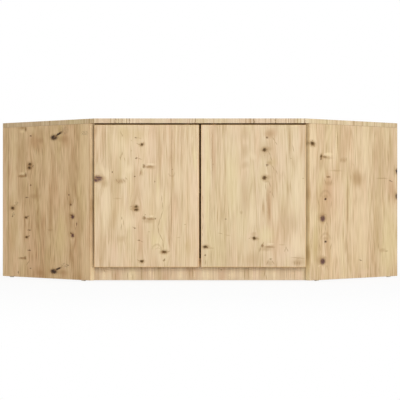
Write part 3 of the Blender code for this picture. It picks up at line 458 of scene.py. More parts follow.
rightSide = {
    "nodes": ["right_side_panel"],
    "place": (0.370589, -0.515063, 0),
    "turn": 45,
    "tint": colour(251, 247, 240),
    # The front end face is tinted lighter: painted light in the shaded groove beside the right door
    "paintedLightByFacing": [((-diagonal, -diagonal, 0), colour(255, 254, 238))],
    "fineness": 0.72,
    "stretch": 0.6,
    "contrast": 1.45,
    "seed": 21,
    "tones": {
        "rosy": [(98, 320, 24.9, 44), (78, 266, 45.7, 51), (92, 115, 15.7, 99), (442, 322, 14.3, 32)],
        "sallow": [(429, 130, 41.3, 125)],
        "glow": [
            (11, 459, 15.4, 74), (287, 449, 53.6, 82), (272, 185, 60.3, 126), (16, 198, 15.4, 30),
            (147, 114, 26.6, 52),
        ],
        "shade": [
            (172, 449, 25.4, 83), (375, 407, 35.1, 124), (439, 444, 17.1, 82), (249, 347, 35.4, 29),
            (199, 247, 6.5, 78), (363, 163, 22.4, 78), (58, 402, 15.6, 24), (190, 117, 6.4, 28),
        ],
        "tan": [(27, 130, 15.5, 51)],
        "pink": [(464, 468, 11.2, 66), (150, 300, 34.6, 52), (296, 17, 30.3, 11)],
    },
    "marks": {
        "pale": [(96, 432, 25.2, 5.8), (138, 479, 3.7, 44.7), (51, 52, 9.3, 2.4, -17)],
        "smudge": [
            (92, 419, 29.4, 5.1), (175, 413, 19.3, 9.7), (97, 332, 25.2, 8.9), (250, 348, 28.4, 23),
            (136, 376, 34.5, 3.4), (82, 287, 14.6, 7.5), (61, 217, 25, 16.3), (82, 144, 17.8, 6.8),
            (61, 71, 25, 16.3), (391, 97, 19.2, 7.8), (459, 378, 10.3, 23.2), (459, 289, 10.3, 25),
        ],
        "purple": [(67, 212, 13, 10.8), (67, 66, 13, 10.8)],
        "dark": [(470, 378, 4.3, 9), (469, 289, 4.3, 10)],
        "dot": [(81, 278, 6.2, 3.9), (81, 133, 6.2, 3.9)],
        "arc": [
            (81, 279, 27.2, 27.3), (77, 214, 13.6, 11.6, -25), (87, 175, 8.9, 20.5), (81, 133, 27.2, 27.3),
            (77, 68, 13.6, 11.6, -25), (87, 29, 8.9, 20.5),
        ],
        "line": [(198, 262, 2.7, 90)],
        "spot": [(76, 422, 13.6, 4.1, 5), (96, 354, 11.5, 3.6)],
        "knot": [(14, 466, 12.4, 7.4, 10), (59, 424, 4.9, 7.1, 15)],
        "pin": [(13, 477, 2.3, 2), (58, 414, 3.1, 4.1, 15), (268, 65, 8.2, 1.4, 13), (438, 342, 10.8, 1.8, 16)],
        "streak": [
            (7, 459, 2.3, 5.1, 29), (24, 458, 2.6, 4.7, -52), (163, 412, 2.1, 7.6, 12),
            (180, 411, 2.1, 6.9, -9), (191, 416, 2.2, 6.9), (79, 339, 2.4, 12.3, -24),
            (113, 338, 2.4, 12.3, 24), (45, 266, 2.1, 15.3, -15), (111, 259, 2.4, 12.3, 12),
            (80, 179, 2.1, 10.9, -9), (109, 115, 2.4, 13.7, 21), (53, 114, 2.1, 13.6, -15), (368, 112, 2.8, 12),
            (413, 93, 9.1, 2.5, -6), (193, 127, 2.2, 31.2), (388, 352, 33.9, 1.8),
        ],
    },
}
plinth = {
    "nodes": ["plinth_board"],
    "tint": colour(255, 255, 255),
    "stretch": 0.4,
    "contrast": 1.0,
    "seed": 30,
    "tones": {
        "rosy": [(-285, 25, 12.2, 27.1), (-116, 18, 13.6, 20.4), (74, 18, 10.9, 23.8)],
        "sallow": [(-234, 22, 13.6, 27.1)],
        "glow": [
            (-328, 22, 8.1, 27.1), (-67, 22, 8.8, 27.1), (25, 22, 15.6, 30.5), (112, 22, 10.2, 27.1),
            (251, 18, 6.8, 20.4),
        ],
        "shade": [
            (-348, 25, 8.8, 30.5), (-197, 25, 12.2, 30.5), (-143, 22, 11.5, 30.5), (-31, 28, 8.1, 27.1),
            (156, 25, 9.5, 30.5), (281, 25, 8.1, 27.1),
        ],
        "tan": [(213, 28, 8.8, 20.4)],
        "pink": [(185, 18, 10.9, 27.1), (332, 25, 11.5, 27.1)],
    },
    "marks": {
        "pale": [
            (12, 25, 1.7, 20.4), (27, 24, 2, 20.4), (100, 18, 2.4, 15.6), (108, 25, 1.7, 20.4),
            (139, 22, 1.7, 17), (177, 25, 2.4, 21.7), (193, 24, 1.7, 20.4), (251, 19, 3.1, 14.3),
            (-326, 22, 2.7, 17), (-237, 19, 3.4, 17), (-222, 23, 1.7, 20.4), (-170, 24, 1.7, 20.4),
            (-158, 18, 1.7, 17), (-67, 22, 2.7, 19), (-44, 22, 1.4, 18.3), (-19, 22, 1.7, 18.3),
        ],
        "line": [(164, 28, 1.4, 25.1)],
        "thread": [
            (-199, 22, 1.4, 20.4), (-180, 25, 1.4, 23.8), (-200, 44, 1.7, 5.4), (-325, 36, 1.4, 8.1, -20),
            (-25, 30, 1.5, 25.8), (-36, 25, 1.2, 20.4), (-99, 26, 1.2, 20.4), (-246, 18, 1.2, 13.6),
            (-228, 11, 1.2, 13.6), (-298, 19, 1.4, 15.6), (-287, 15, 1.2, 13.6), (151, 24, 1.4, 21.7),
            (219, 26, 1.4, 14.3, 10), (225, 13, 1.2, 10.2, -10), (72, 39, 3.1, 2.7, 30), (293, 25, 1.2, 22.4),
            (308, 25, 1, 20.4), (320, 23, 1.2, 20.4),
        ],
    },
}

# Marks that the top and the inside repeat from other boards, as one print that comes again
boldKinds = ("purple", "dark", "dot", "bar", "spot", "knot")

# The top's own marks sit on its front edge and run a few millimetres into it
top = {
    "nodes": ["top_panel"],
    "turn": "frontToBack",
    "tint": colour(240, 240, 243),
    # Tints by facing: painted shade on the left slanted edge, painted light on the right slanted edge, painted
    # brown shade on the underside that shows in the gap above the doors, and a warmer upper face
    "paintedLightByFacing": [
        ((-diagonal, -diagonal, 0), colour(230, 225, 213)),
        ((diagonal, -diagonal, 0), colour(247, 248, 242)),
        ((0, 0, -1), colour(240, 204, 144)),
        ((0, 0, 1), colour(250, 245, 236)),
    ],
    "edgeContrast": {"slanted": 1.7, "front": 0.8},
    "contrast": 1.15,
    "stretch": 0.8,
    "seed": 41,
    "marks": {
        "pale": [
            (-252, -528, 2, 9), (-232, -528, 2, 9), (-221, -528, 1.7, 9), (294, -528, 1.7, 9),
            (302, -528, 1.3, 9), (333, -528, 1.7, 9), (345, -528, 2, 9),
        ],
        "spot": [
            (-286, -528, 1.7, 9), (-275, -528, 1.2, 9), (-238, -528, 1.5, 9), (-16, -528, 1.5, 9),
            (181, -528, 2, 9), (254, -528, 1.2, 9), (353, -528, 1.5, 9),
        ],
        "thread": [
            (-27, -528, 1.3, 9), (170, -528, 2, 9), (238, -528, 1.7, 9), (289, -528, 1.2, 9),
            (298, -528, 1.3, 9),
        ],
        "streak": [
            (-302, -528, 1.3, 9), (-263, -528, 2.4, 9), (-247, -528, 1.7, 9), (-98, -528, 2.7, 9),
            (-35, -528, 1.3, 9), (154, -528, 2, 9), (220, -528, 1.7, 9), (306, -528, 1.2, 9),
            (314, -528, 1.3, 9), (318, -528, 1.2, 9), (328, -528, 1.3, 9), (338, -528, 1.3, 9),
        ],
    },
    "repeats": [
        (leftDoor, -60, -545, boldKinds),
        (rightSide, 95, -470, boldKinds),
        (rightDoor, -190, -40, boldKinds),
    ],
}
inside = {
    "nodes": ["bottom_panel", "shelf"],
    "turn": "leftToRight",
    # Painted shade: the tint is warmer and darker than the doors', for the shade inside the carcass
    "tint": colour(252, 240, 222),
    "seed": 52,
    "repeats": [(leftDoor, -60, -560, boldKinds), (rightDoor, -330, -60, boldKinds)],
}
posts = {
    "left": {"turn": 45, "seed": 63, "repeats": [(rightDoor, 100, 0, ("spot", "knot"))]},
    "right": {"turn": -45, "seed": 74, "repeats": [(leftDoor, -120, 0, ("spot", "knot"))]},
}
for label, post in posts.items():
    # Painted shade: the posts' tint is warmer and darker than the doors', for the shade inside the carcass
    post.update({"nodes": [label + "_rear_post"], "tint": colour(250, 236, 216), "stretch": 0.7, "contrast": 1.2})

lyingTurns = {
    "frontToBack": (math.radians(-90), 0, 0),
    "leftToRight": (math.radians(90), 0, math.radians(90)),
}
through = 1000  # a mark's reach through the board, in metres: it doesn't end there


def boardFrame(finish, board):
    turn = board.get("turn", 0)
    rotation = lyingTurns.get(turn) or (0, 0, math.radians(turn))
    return finish.local(finish.coordinates(), board.get("place", (0, 0, 0)), rotation)


def markFrame(finish, place, across, along, wide, high, lean=0):
    # A mark's own frame, from millimetres: its outline is at distance 1
    turn = (0, math.radians(lean), 0)
    return finish.local(place, (across / 1000, 0, along / 1000), turn, (wide / 1000, through, high / 1000))


def listed(groups, kinds):
    # Tones or marks grouped by kind, as one list in the order of painting
    return [(kind, *patch) for kind in kinds for patch in groups.get(kind, [])]


def marksOf(board):
    # A board's own marks, then those that it repeats, moved across and along
    marks = listed(board.get("marks", {}), markKinds)
    for other, across, along, kinds in board.get("repeats", []):
        marks += [(kind, x + across, z + along, *rest) for kind, x, z, *rest in marksOf(other) if kind in kinds]
    return marks


def bentGrain(finish, place, marks):
    # The grain runs round each larger knot
    bend = oak["bend"]
    for kind, across, along, wide, *rest in marks:
        if kind in ("knot", "dark", "purple") and wide >= bend["least"]:
            wide = min(wide, bend["most"])
            reach = (wide * bend["across"], through, wide * bend["along"])
            near = finish.local(place, (across / 1000, 0, along / 1000), size=reach)
            push = finish.smooth(finish.length(near), 0, 1, -wide * bend["push"], 0)
            place = finish.vector("MULTIPLY_ADD", near, push, place)
    return place


def paintTone(finish, base, place, kind, *patch):
    # A broad soft patch that runs along the grain
    look = toneKinds[kind]
    away = finish.length(markFrame(finish, place, *patch))
    return finish.mix(finish.smooth(away, *fades["tone"], 0, look["cover"]), base, look["colour"])


def paintMark(finish, base, place, kind, across, along, wide, high, lean=0):
    look = markKinds[kind]
    near = markFrame(finish, place, across, along, wide, high, lean)
    away = finish.length(near)
    if kind == "arc":
        # The upper half of a thin ring
        ring = finish.smooth(finish.absolute(away - 1), look["thin"], 0, 0, look["cover"])
        upper = finish.smooth(finish.axes(near)[2], *fades["arcEnds"])
        return finish.mix(ring * upper, base, look["colour"])
    if kind == "pepper":
        grains = finish.smooth(finish.noise(place, look["scale"], 1), *look["between"], 0, look["cover"])
        return finish.mix(grains * finish.smooth(away, *fades["pepper"]), base, look["colour"])
    if "halo" in look:
        shade = finish.smooth(away, look["halo"], look["halo"] * knotHalo["full"], 0, knotHalo["cover"])
        base = finish.mix(shade, base, knotHalo["colour"])
    base = finish.mix(finish.smooth(away, fades["mark"], look["full"], 0, look["cover"]), base, look["colour"])
    if "heart" in look and wide > knotHeart["least"]:
        size = knotHeart["size"]
        aside, up = knotHeart["shift"]
        heart = markFrame(finish, place, across + wide * aside, along + high * up, wide * size, high * size, lean)
        dark = finish.smooth(finish.length(heart), *fades["heart"], 0, knotHeart["cover"])
        base = finish.mix(dark, base, look["heart"])
    return base


def oakValue(finish, place, seed, stretch, fineness, contrast):
    # How light the grain is, from dark lines at 0 to pale wood at 1
    value = oak["middle"]
    for number, ((across, depth, along), share) in enumerate(oak["streaks"]):
        shift = (seed + number * 3.7, 0, seed * 1.3)
        streak = finish.noise(place, (across * fineness, depth, along * stretch), 1, 0.5, shift)
        value = (streak - 0.5) * (contrast * share) + value
    dashes = oak["dashes"]
    across, depth, along = dashes["scale"]
    dash = finish.noise(place, (across, depth, along * stretch), 0, 0.5, (seed * 2.1, 0, seed))
    lines = oak["lines"]
    flow = finish.noise(place, lines["scale"], 1, 0.5, (seed * 0.4, 0, seed * 1.9), lines["twist"])
    nearLine = finish.absolute(finish.calculate("FRACT", flow * lines["count"]) - 0.5)
    fields = oak["linedFields"]
    lined = finish.smooth(finish.noise(place, fields["scale"], 1, 0.5, (seed * 1.1, 0, seed)), *fields["between"])
    line = finish.smooth(nearLine, lines["width"], 0, 0, lines["share"]) * lined
    return value - finish.smooth(dash, *dashes["between"], 0, dashes["share"]) - line


def grainContrast(finish, board):
    # A board's contrast, with its own value on slanted and front edges where it gives one
    contrast = board.get("contrast", 1)
    if "edgeContrast" not in board:
        return contrast
    sideways, forward, upward = finish.axes(finish.coordinates("Normal"))
    edge = board["edgeContrast"]
    onEdge = finish.smooth(finish.absolute(forward), *facings["front"], edge["slanted"], edge["front"])
    return finish.smooth(finish.absolute(upward), *facings["level"], onEdge, contrast)


def after(finish, base, place):
    # The same place, but worked out once base is: a long list of marks would overfill the renderer's stack
    return finish.vector("MULTIPLY_ADD", base, (1e-9, 1e-9, 1e-9), place)


def oakTint(finish, board):
    # The board's tint, with painted light and shade on faces by the way they face, and on the doors a painted shade
    # rim near the edges and the edge band's colour on their edge faces
    tint = board["tint"]
    for direction, edgeTint in board.get("paintedLightByFacing", []):
        tint = finish.mix(finish.smooth(finish.facing(direction), *facings["edge"]), tint, edgeTint)
    # Painted shade: a darker rim on the broad faces near the door's edges; the edge faces get the band's colour
    if board.get("rim"):
        low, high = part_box(board["nodes"][0])
        x, y, z = finish.axes(finish.coordinates())
        side = finish.calculate("MINIMUM", x - low[0], high[0] - x)
        end = finish.calculate("MINIMUM", z - low[2], high[2] - z)
        rim = oak["rim"]
        nearEdge = finish.smooth(finish.calculate("MINIMUM", side, end), rim["start"], rim["full"])
        broad = finish.smooth(finish.absolute(finish.facing((0, 1, 0))), *facings["broad"])
        tint = finish.mix(broad, oak["band"], finish.mix(nearEdge, tint, rim["tint"]))
    return tint


def oakFinish(name, board):
    finish = Finish(name)
    place = boardFrame(finish, board)
    seed = board["seed"]
    marks = marksOf(board)
    bent = bentGrain(finish, place, marks)
    sway = finish.noise(bent, oak["sway"]["scale"], 1, 0.5, (seed, 0, 0)) - 0.5
    swayed = finish.vector("ADD", bent, finish.join(sway * oak["sway"]["reach"], 0, 0))
    contrast = grainContrast(finish, board)
    value = oakValue(finish, swayed, seed, board.get("stretch", 1), board.get("fineness", 1), contrast)
    base = finish.ramp(value, oak["ramp"])
    for hue in oak["hues"]:
        patch = finish.noise(bent, hue["scale"], 2, 0.55, (seed * 0.6, 0, seed))
        base = finish.mix(1, base, finish.ramp(patch, hue["stops"]), "MULTIPLY")
    drift = oak["drift"]
    drifted = finish.wander(swayed, finish.noise(bent, drift["scale"], 2, 0.6, (seed, 0, seed)), drift["reach"])
    for number, patch in enumerate(listed(board.get("tones", {}), toneKinds), 1):
        base = paintTone(finish, base, drifted, *patch)
        if number % oak["batch"] == 0:
            drifted = after(finish, base, drifted)
    frayed = {}
    for key in ("ragged", "steady"):
        frayed[key] = finish.wander(place, finish.noise(place, oak[key]["scale"], 2, 0.6), oak[key]["reach"])
    for number, mark in enumerate(marks):
        if number % oak["batch"] == 0:
            frayed = {key: after(finish, base, value) for key, value in frayed.items()}
        thin = mark[0] in ("line", "thread", "streak")
        base = paintMark(finish, base, frayed["steady" if thin else "ragged"], *mark)
    finish.feed(finish.shader.inputs["Specular IOR Level"], oak["shine"])
    rough = oak["roughness"]
    return finish.set(
        baseColor=finish.mix(1, base, oakTint(finish, board), "MULTIPLY"),
        roughness=finish.smooth(value, *rough["between"], rough["dark"], rough["pale"]),
        normal=finish.bump(value, **oak["bump"]),
    )


boards = {
    "oakLeftDoor": leftDoor,
    "oakRightDoor": rightDoor,
    "oakLeftSide": leftSide,
    "oakRightSide": rightSide,
    "oakPlinth": plinth,
    "oakTop": top,
    "oakInside": inside,
    "oakLeftPost": posts["left"],
    "oakRightPost": posts["right"],
}


def dress(name, material):
    nodes[name].data.materials.clear()
    nodes[name].data.materials.append(material)


for finishName, board in boards.items():
    material = oakFinish(finishName, board)
    for name in board["nodes"]:
        dress(name, material)
print("oak boards dressed")


# Other finishes: light and dark shade, roughness from the smoothest place to the roughest, and the scales of their
# patches, scratches and texture in patches per metre
metals = {
    "nickelSteel": {
        "light": colour(222, 219, 212),
        "dark": colour(190, 187, 180),
        "roughness": (0.20, 0.36),
        "scratches": (700, 700, 60),
    },
    "zincSteel": {
        "light": colour(205, 207, 208),
        "dark": colour(168, 172, 178),
        "roughness": (0.32, 0.50),
        "scratches": (900, 900, 900),
    },
}
plastics = {
    "whitePlastic": {"light": colour(236, 236, 232), "dark": colour(226, 226, 221), "roughness": (0.38, 0.50)},
    "greyPlastic": {"light": colour(112, 112, 114), "dark": colour(98, 98, 101), "roughness": (0.42, 0.55)},
    "latchPlastic": {"light": colour(150, 118, 74), "dark": colour(136, 104, 62), "roughness": (0.50, 0.62)},
    "glidePlastic": {"light": colour(232, 230, 222), "dark": colour(216, 213, 204), "roughness": (0.42, 0.55)},
}
metalDetail = {"patches": (90, 90, 90), "between": (0.25, 0.75), "bump": {"strength": 0.08, "distance": 0.0002}}
plasticDetail = {
    "patches": (60, 60, 60),
    "between": (0.3, 0.7),
    "texture": (2600, 2600, 2600),
    "bump": {"strength": 0.10, "distance": 0.0001},
}
beech = {
    "grain": (500, 500, 90),
    "light": colour(226, 190, 146),
    "dark": colour(196, 152, 108),
    "roughness": 0.7,
    "bump": {"strength": 0.2, "distance": 0.0003},
}


def metalFinish(name, look):
    finish = Finish(name)
    place = finish.coordinates()
    patch = finish.noise(place, metalDetail["patches"], 3, 0.6)
    scratch = finish.noise(place, look["scratches"], 2, 0.6)
    return finish.set(
        baseColor=finish.mix(patch, look["dark"], look["light"]),
        metallic=1.0,
        roughness=finish.smooth(scratch, *metalDetail["between"], *look["roughness"]),
        normal=finish.bump(scratch, **metalDetail["bump"]),
    )


def plasticFinish(name, look):
    finish = Finish(name)
    place = finish.coordinates()
    patch = finish.noise(place, plasticDetail["patches"])
    texture = finish.noise(place, plasticDetail["texture"], 1)
    return finish.set(
        baseColor=finish.mix(patch, look["dark"], look["light"]),
        roughness=finish.smooth(patch, *plasticDetail["between"], *look["roughness"]),
        normal=finish.bump(texture, **plasticDetail["bump"]),
    )


def beechFinish(name, look):
    finish = Finish(name)
    grain = finish.noise(finish.coordinates(), look["grain"], 2, 0.6)
    base = finish.mix(grain, look["dark"], look["light"])
    return finish.set(baseColor=base, roughness=look["roughness"], normal=finish.bump(grain, **look["bump"]))


finishes = {name: metalFinish(name, look) for name, look in metals.items()}
finishes.update({name: plasticFinish(name, look) for name, look in plastics.items()})
finishes["beech"] = beechFinish("beech", beech)
print("metals, plastics and beech made")

# Hardboard: decor paper towards the inside, bare brown fibre towards the wall
hardboard = {
    "paper": {"scale": (80, 80, 2.6), "contrast": 0.8},
    "fibre": {"scale": (900, 900, 900), "light": colour(160, 122, 86), "dark": colour(122, 88, 59)},
    "fleck": {"scale": (210, 210, 150), "between": (0.36, 0.66), "share": 0.45, "colour": colour(182, 146, 106)},
    "cloud": {"scale": (14, 14, 9), "between": (0.30, 0.70), "share": 0.35, "colour": colour(112, 78, 50)},
    "roughness": {"fibre": 0.85, "paper": 0.5},
    "bump": {"strength": 0.15, "distance": 0.0003},
}
backs = {
    "left": {"turn": 45, "inward": (diagonal, -diagonal, 0)},
    "right": {"turn": -45, "inward": (-diagonal, -diagonal, 0)},
}


def backFinish(name, board):
    finish = Finish(name)
    place = boardFrame(finish, board)
    grain = finish.noise(place, hardboard["paper"]["scale"], 4, 0.6)
    paper = finish.ramp((grain - 0.5) * hardboard["paper"]["contrast"] + 0.5, oak["ramp"])
    look, fleck, cloud = hardboard["fibre"], hardboard["fleck"], hardboard["cloud"]
    fibre = finish.noise(place, look["scale"], 3, 0.7)
    flecked = finish.smooth(finish.noise(place, fleck["scale"], 2, 0.6), *fleck["between"])
    clouded = finish.smooth(finish.noise(place, cloud["scale"], 3, 0.6), *cloud["between"])
    bare = finish.mix(fibre, look["dark"], look["light"])
    bare = finish.mix(flecked * fleck["share"], bare, fleck["colour"])
    bare = finish.mix(clouded * cloud["share"], bare, cloud["colour"])
    inner = finish.smooth(finish.facing(board["inward"]), *facings["inner"])
    return finish.set(
        baseColor=finish.mix(inner, bare, paper),
        roughness=finish.smooth(inner, 0, 1, hardboard["roughness"]["fibre"], hardboard["roughness"]["paper"]),
        normal=finish.bump(fibre, **hardboard["bump"]),
    )


for label, board in backs.items():
    dress(label + "_back_panel", backFinish(label + "Back", board))

# What the small pieces are made of, by a word of their names
finishWords = {
    "nickelSteel": ("hinge_cup", "hinge_arm", "hinge_plate", "shelf_pin"),
    "zincSteel": ("hinge_pin", "cam_lock", "cam_bolt", "spring"),
    "latchPlastic": ("housing",),
    "whitePlastic": ("block",),
    "greyPlastic": ("plunger",),
    "glidePlastic": ("glide",),
    "beech": ("dowel",),
}
for name in nodes:
    for finishName, words in finishWords.items():
        if any(word in name for word in words):
            dress(name, finishes[finishName])
print("back panels and small pieces dressed")


# Small fittings: each kind is modelled once and copied, every copy with its own mesh
def startOn(item):
    bpy.ops.object.select_all(action="DESELECT")
    item.select_set(True)
    bpy.context.view_layer.objects.active = item


def applyPlace():
    bpy.ops.object.transform_apply(location=True, rotation=True, scale=True)


def turned(name, rings, corners):
    # Drawn out from a circle, by rings of radius and height
    bpy.ops.object.select_all(action="DESELECT")
    radius, height = rings[0]
    bpy.ops.mesh.primitive_circle_add(vertices=corners, radius=radius, fill_type="NGON", location=(0, 0, height))
    made = bpy.context.object
    made.name = name
    applyPlace()
    bpy.ops.object.mode_set(mode="EDIT")
    for nextRadius, nextHeight in rings[1:]:
        bpy.ops.mesh.extrude_region_move(TRANSFORM_OT_translate={"value": (0, 0, nextHeight - height)})
        share = nextRadius / radius
        bpy.ops.transform.resize(value=(share, share, 1), center_override=(0, 0, 0))
        radius, height = nextRadius, nextHeight
    bpy.ops.mesh.select_all(action="SELECT")
    bpy.ops.mesh.normals_make_consistent(inside=False)
    bpy.ops.object.mode_set(mode="OBJECT")
    return made


def pick(item, test):
    # Selects, in edit mode, the faces that pass the test
    for face in bmesh.from_edit_mesh(item.data).faces:
        face.select_set(test(face))
    bmesh.update_edit_mesh(item.data)


def crossPunch(height, width, reach, depth, tip):
    # The cross-shaped end of a driver, narrower at its tip
    bpy.ops.object.select_all(action="DESELECT")
    bpy.ops.mesh.primitive_cube_add(size=1, location=(0, 0, 0))
    punch = bpy.context.object
    bpy.ops.object.mode_set(mode="EDIT")
    bpy.ops.transform.resize(value=(width, width, depth * 2), center_override=(0, 0, 0))
    pick(punch, lambda face: abs(face.normal.z) < 0.5)
    bpy.ops.mesh.extrude_faces_move(TRANSFORM_OT_shrink_fatten={"value": reach - width / 2})
    pick(punch, lambda face: face.normal.z < -0.5)
    bpy.ops.transform.resize(value=(tip, tip, 1), center_override=(0, 0, 0))
    bpy.ops.mesh.select_all(action="SELECT")
    bpy.ops.transform.translate(value=(0, 0, height))
    bpy.ops.mesh.normals_make_consistent(inside=False)
    bpy.ops.object.mode_set(mode="OBJECT")
    return punch


def cutAway(item, cutter):
    startOn(item)
    modifier = item.modifiers.new("cut", "BOOLEAN")
    modifier.solver = "EXACT"
    modifier.operation = "DIFFERENCE"
    modifier.object = cutter
    bpy.ops.object.modifier_apply(modifier="cut")
    bpy.data.objects.remove(cutter, do_unlink=True)


def turnedTo(facing):
    return Vector(facing).to_track_quat("Z", "Y").to_euler()


def copyTo(master, name, seat, facing, body="cabinet"):
    # A copy with its own mesh: its head looks along facing, its underside rests on seat
    startOn(master)
    bpy.ops.object.duplicate(linked=False)
    piece = bpy.context.object
    piece.name = name
    piece.data.name = name
    piece.location = seat
    piece.rotation_euler = turnedTo(facing)
    applyPlace()
    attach(piece, body)
    return piece


# Lengths and radii in metres; a ring is a radius and a height above the seat
smoothAngle = math.radians(35)
screw = {
    "corners": 20,
    "length": 0.0120,
    "core": 0.00115,
    "crest": 0.00172,
    "pitch": 0.0013,
    "tip": {"radius": 0.0002, "length": 0.0016},
    "thread": {"start": 0.0018, "end": -0.0016, "crestAt": 0.45, "rootAt": 0.9},
    "neck": -0.0001,
    "head": [
        (0.0032, 0.0001),
        (0.0034, 0.0004),
        (0.0034, 0.0010),
        (0.0030, 0.0016),
        (0.0022, 0.0020),
        (0.0012, 0.0022),
    ],
    "cross": {"width": 0.0007, "reach": 0.0017, "depth": 0.0014, "tip": 0.45},
    "crossLift": 0.0002,
}
nail = {
    "corners": 14,
    "rings": [
        (0.0001, -0.0150),
        (0.0006, -0.0135),
        (0.0006, 0.0),
        (0.0019, 0.00005),
        (0.0022, 0.0003),
        (0.0020, 0.0006),
        (0.0010, 0.0008),
    ],
}


def makeScrew():
    core, pitch, tip, thread = screw["core"], screw["pitch"], screw["tip"], screw["thread"]
    rings = [(tip["radius"], -screw["length"]), (core, tip["length"] - screw["length"])]
    level = thread["start"] - screw["length"]
    while level < thread["end"]:
        crestLevel = level + pitch * thread["crestAt"]
        rings += [(core, level), (screw["crest"], crestLevel), (core, level + pitch * thread["rootAt"])]
        level += pitch
    rings += [(core, screw["neck"]), *screw["head"]]
    made = turned("screwMaster", rings, screw["corners"])
    cutAway(made, crossPunch(screw["head"][-1][1] + screw["crossLift"], **screw["cross"]))
    bpy.ops.object.shade_smooth_by_angle(angle=smoothAngle)
    made.data.materials.append(finishes["zincSteel"])
    return made


def makeNail():
    made = turned("nailMaster", nail["rings"], nail["corners"])
    startOn(made)
    bpy.ops.object.shade_smooth_by_angle(angle=smoothAngle)
    made.data.materials.append(finishes["zincSteel"])
    return made


# Where the fittings sit, in metres, as the CAD has them: on the right side, and mirrored on the left
hands = {"left": -1, "right": 1}
hinges = {
    "pin": (0.345589, -0.516562),
    "levels": {"lower": 0.1305, "upper": 0.4468},
    "cupScrew": (-0.0165, 0.0055, 0.024),
    "plateScrew": (0.03596, 0.042865, 0.016),
    "armScrews": {"front": (0.022666, 0.046259), "rear": (0.037515, 0.061108)},
}
underTop = {"middle": 0.045, "screws": [(-0.010, -0.487062), (0.010, -0.471062)], "level": 0.5312}
blocks = {
    "middle": 0.220089,
    "rear": -0.474262,
    "top": 0.0617,
    "shift": 0.005,
    "low": 0.0135,
    "bore": {"depth": 0.0095, "radius": 0.0039, "reach": 0.02, "corners": 28},
}
wall = {"corner": (0.707107, -0.178545), "length": 1.0}
backNails = {
    "fromWall": 0.008,
    "low": {"count": 7, "first": 0.07, "spacing": 0.125, "level": 0.070},
    "post": {"levels": (0.16, 0.27, 0.38, 0.49), "fromEnd": 0.045},
}


def wallPlace(hand, fromWall, along, level):
    # A place by its distance from the wall side and along it from the short side
    x, y = wall["corner"]
    return (hand * (x - (fromWall + along) * diagonal), y + (along - fromWall) * diagonal, level)


def placeHingeScrews(master, label, hand):
    pinX, pinY = hinges["pin"]
    backward = (-hand * diagonal, diagonal, 0)
    for height, level in hinges["levels"].items():
        stem = label + "_" + height + "_hinge_"
        for word, step in {"bottom": -1, "top": 1}.items():
            x, y, rise = hinges["cupScrew"]
            seat = (hand * (pinX + x), pinY + y, level + step * rise)
            copyTo(master, stem + "cup_screw_" + word, seat, (0, 1, 0), label + "_door")
            x, y, rise = hinges["plateScrew"]
            seat = (hand * (pinX + x), pinY + y, level + step * rise)
            copyTo(master, stem + "plate_screw_" + word, seat, backward)
        for word, (x, y) in hinges["armScrews"].items():
            seat = (hand * (pinX + x), pinY + y, level)
            copyTo(master, stem + "arm_screw_" + word, seat, backward)


def blockBores(hand):
    # Seat and facing of the two screws in a corner block
    middle, depth = hand * blocks["middle"], blocks["bore"]["depth"]
    return {
        "back": ((middle - blocks["shift"], blocks["rear"] + depth, blocks["top"] - blocks["low"]), (0, 1, 0)),
        "low": ((middle + blocks["shift"], blocks["rear"] + blocks["low"], blocks["top"] - depth), (0, 0, -1)),
    }


def placeOtherScrews(master, label, hand):
    for number, (across, y) in enumerate(underTop["screws"], 1):
        seat = (hand * underTop["middle"] + across, y, underTop["level"])
        copyTo(master, label + "_latch_screw_" + str(number), seat, (0, 0, -1))
    for word, (seat, facing) in blockBores(hand).items():
        copyTo(master, label + "_block_screw_" + word, seat, facing)


def placeNails(master, label, hand):
    outward = (hand * diagonal, diagonal, 0)
    low, post = backNails["low"], backNails["post"]
    for number in range(low["count"]):
        seat = wallPlace(hand, backNails["fromWall"], low["first"] + number * low["spacing"], low["level"])
        copyTo(master, label + "_back_nail_low_" + str(number + 1), seat, outward)
    for number, level in enumerate(post["levels"], 1):
        seat = wallPlace(hand, backNails["fromWall"], wall["length"] - post["fromEnd"], level)
        copyTo(master, label + "_back_nail_post_" + str(number), seat, outward)


screwMaster = makeScrew()
nailMaster = makeNail()
for label, hand in hands.items():
    placeHingeScrews(screwMaster, label, hand)
    placeOtherScrews(screwMaster, label, hand)
    placeNails(nailMaster, label, hand)
bpy.data.objects.remove(screwMaster, do_unlink=True)
bpy.data.objects.remove(nailMaster, do_unlink=True)
print("screws and nails placed")


# Pressed and moulded pieces: the CAD shapes with their edges rounded, by the width of the rounding
roundings = {
    "hinge_cup": 0.00030,
    "hinge_arm": 0.00030,
    "hinge_plate": 0.00025,
    "latch_housing": 0.00040,
    "plinth_block": 0.00060,
}
rounding = {"segments": 2, "sharperThan": 32, "smoothUpTo": 30}  # angles in degrees
cleaning = {"merge": 0.00001, "flat": 0.5}  # metres and degrees


def roundEdges(item, width):
    startOn(item)
    modifier = item.modifiers.new("edges", "BEVEL")
    modifier.width = width
    modifier.segments = rounding["segments"]
    modifier.limit_method = "ANGLE"
    modifier.angle_limit = math.radians(rounding["sharperThan"])
    bpy.ops.object.modifier_apply(modifier="edges")
    bpy.ops.object.shade_smooth_by_angle(angle=math.radians(rounding["smoothUpTo"]))


def boreOut(item, seat, facing):
    # A counterbore that opens towards facing
    bore = blocks["bore"]
    middle = (0, 0, bore["reach"] / 2)
    bpy.ops.object.select_all(action="DESELECT")
    bpy.ops.mesh.primitive_cylinder_add(
        vertices=bore["corners"], radius=bore["radius"], depth=bore["reach"], location=middle
    )
    cutter = bpy.context.object
    applyPlace()
    cutter.location = seat
    cutter.rotation_euler = turnedTo(facing)
    applyPlace()
    cutAway(item, cutter)


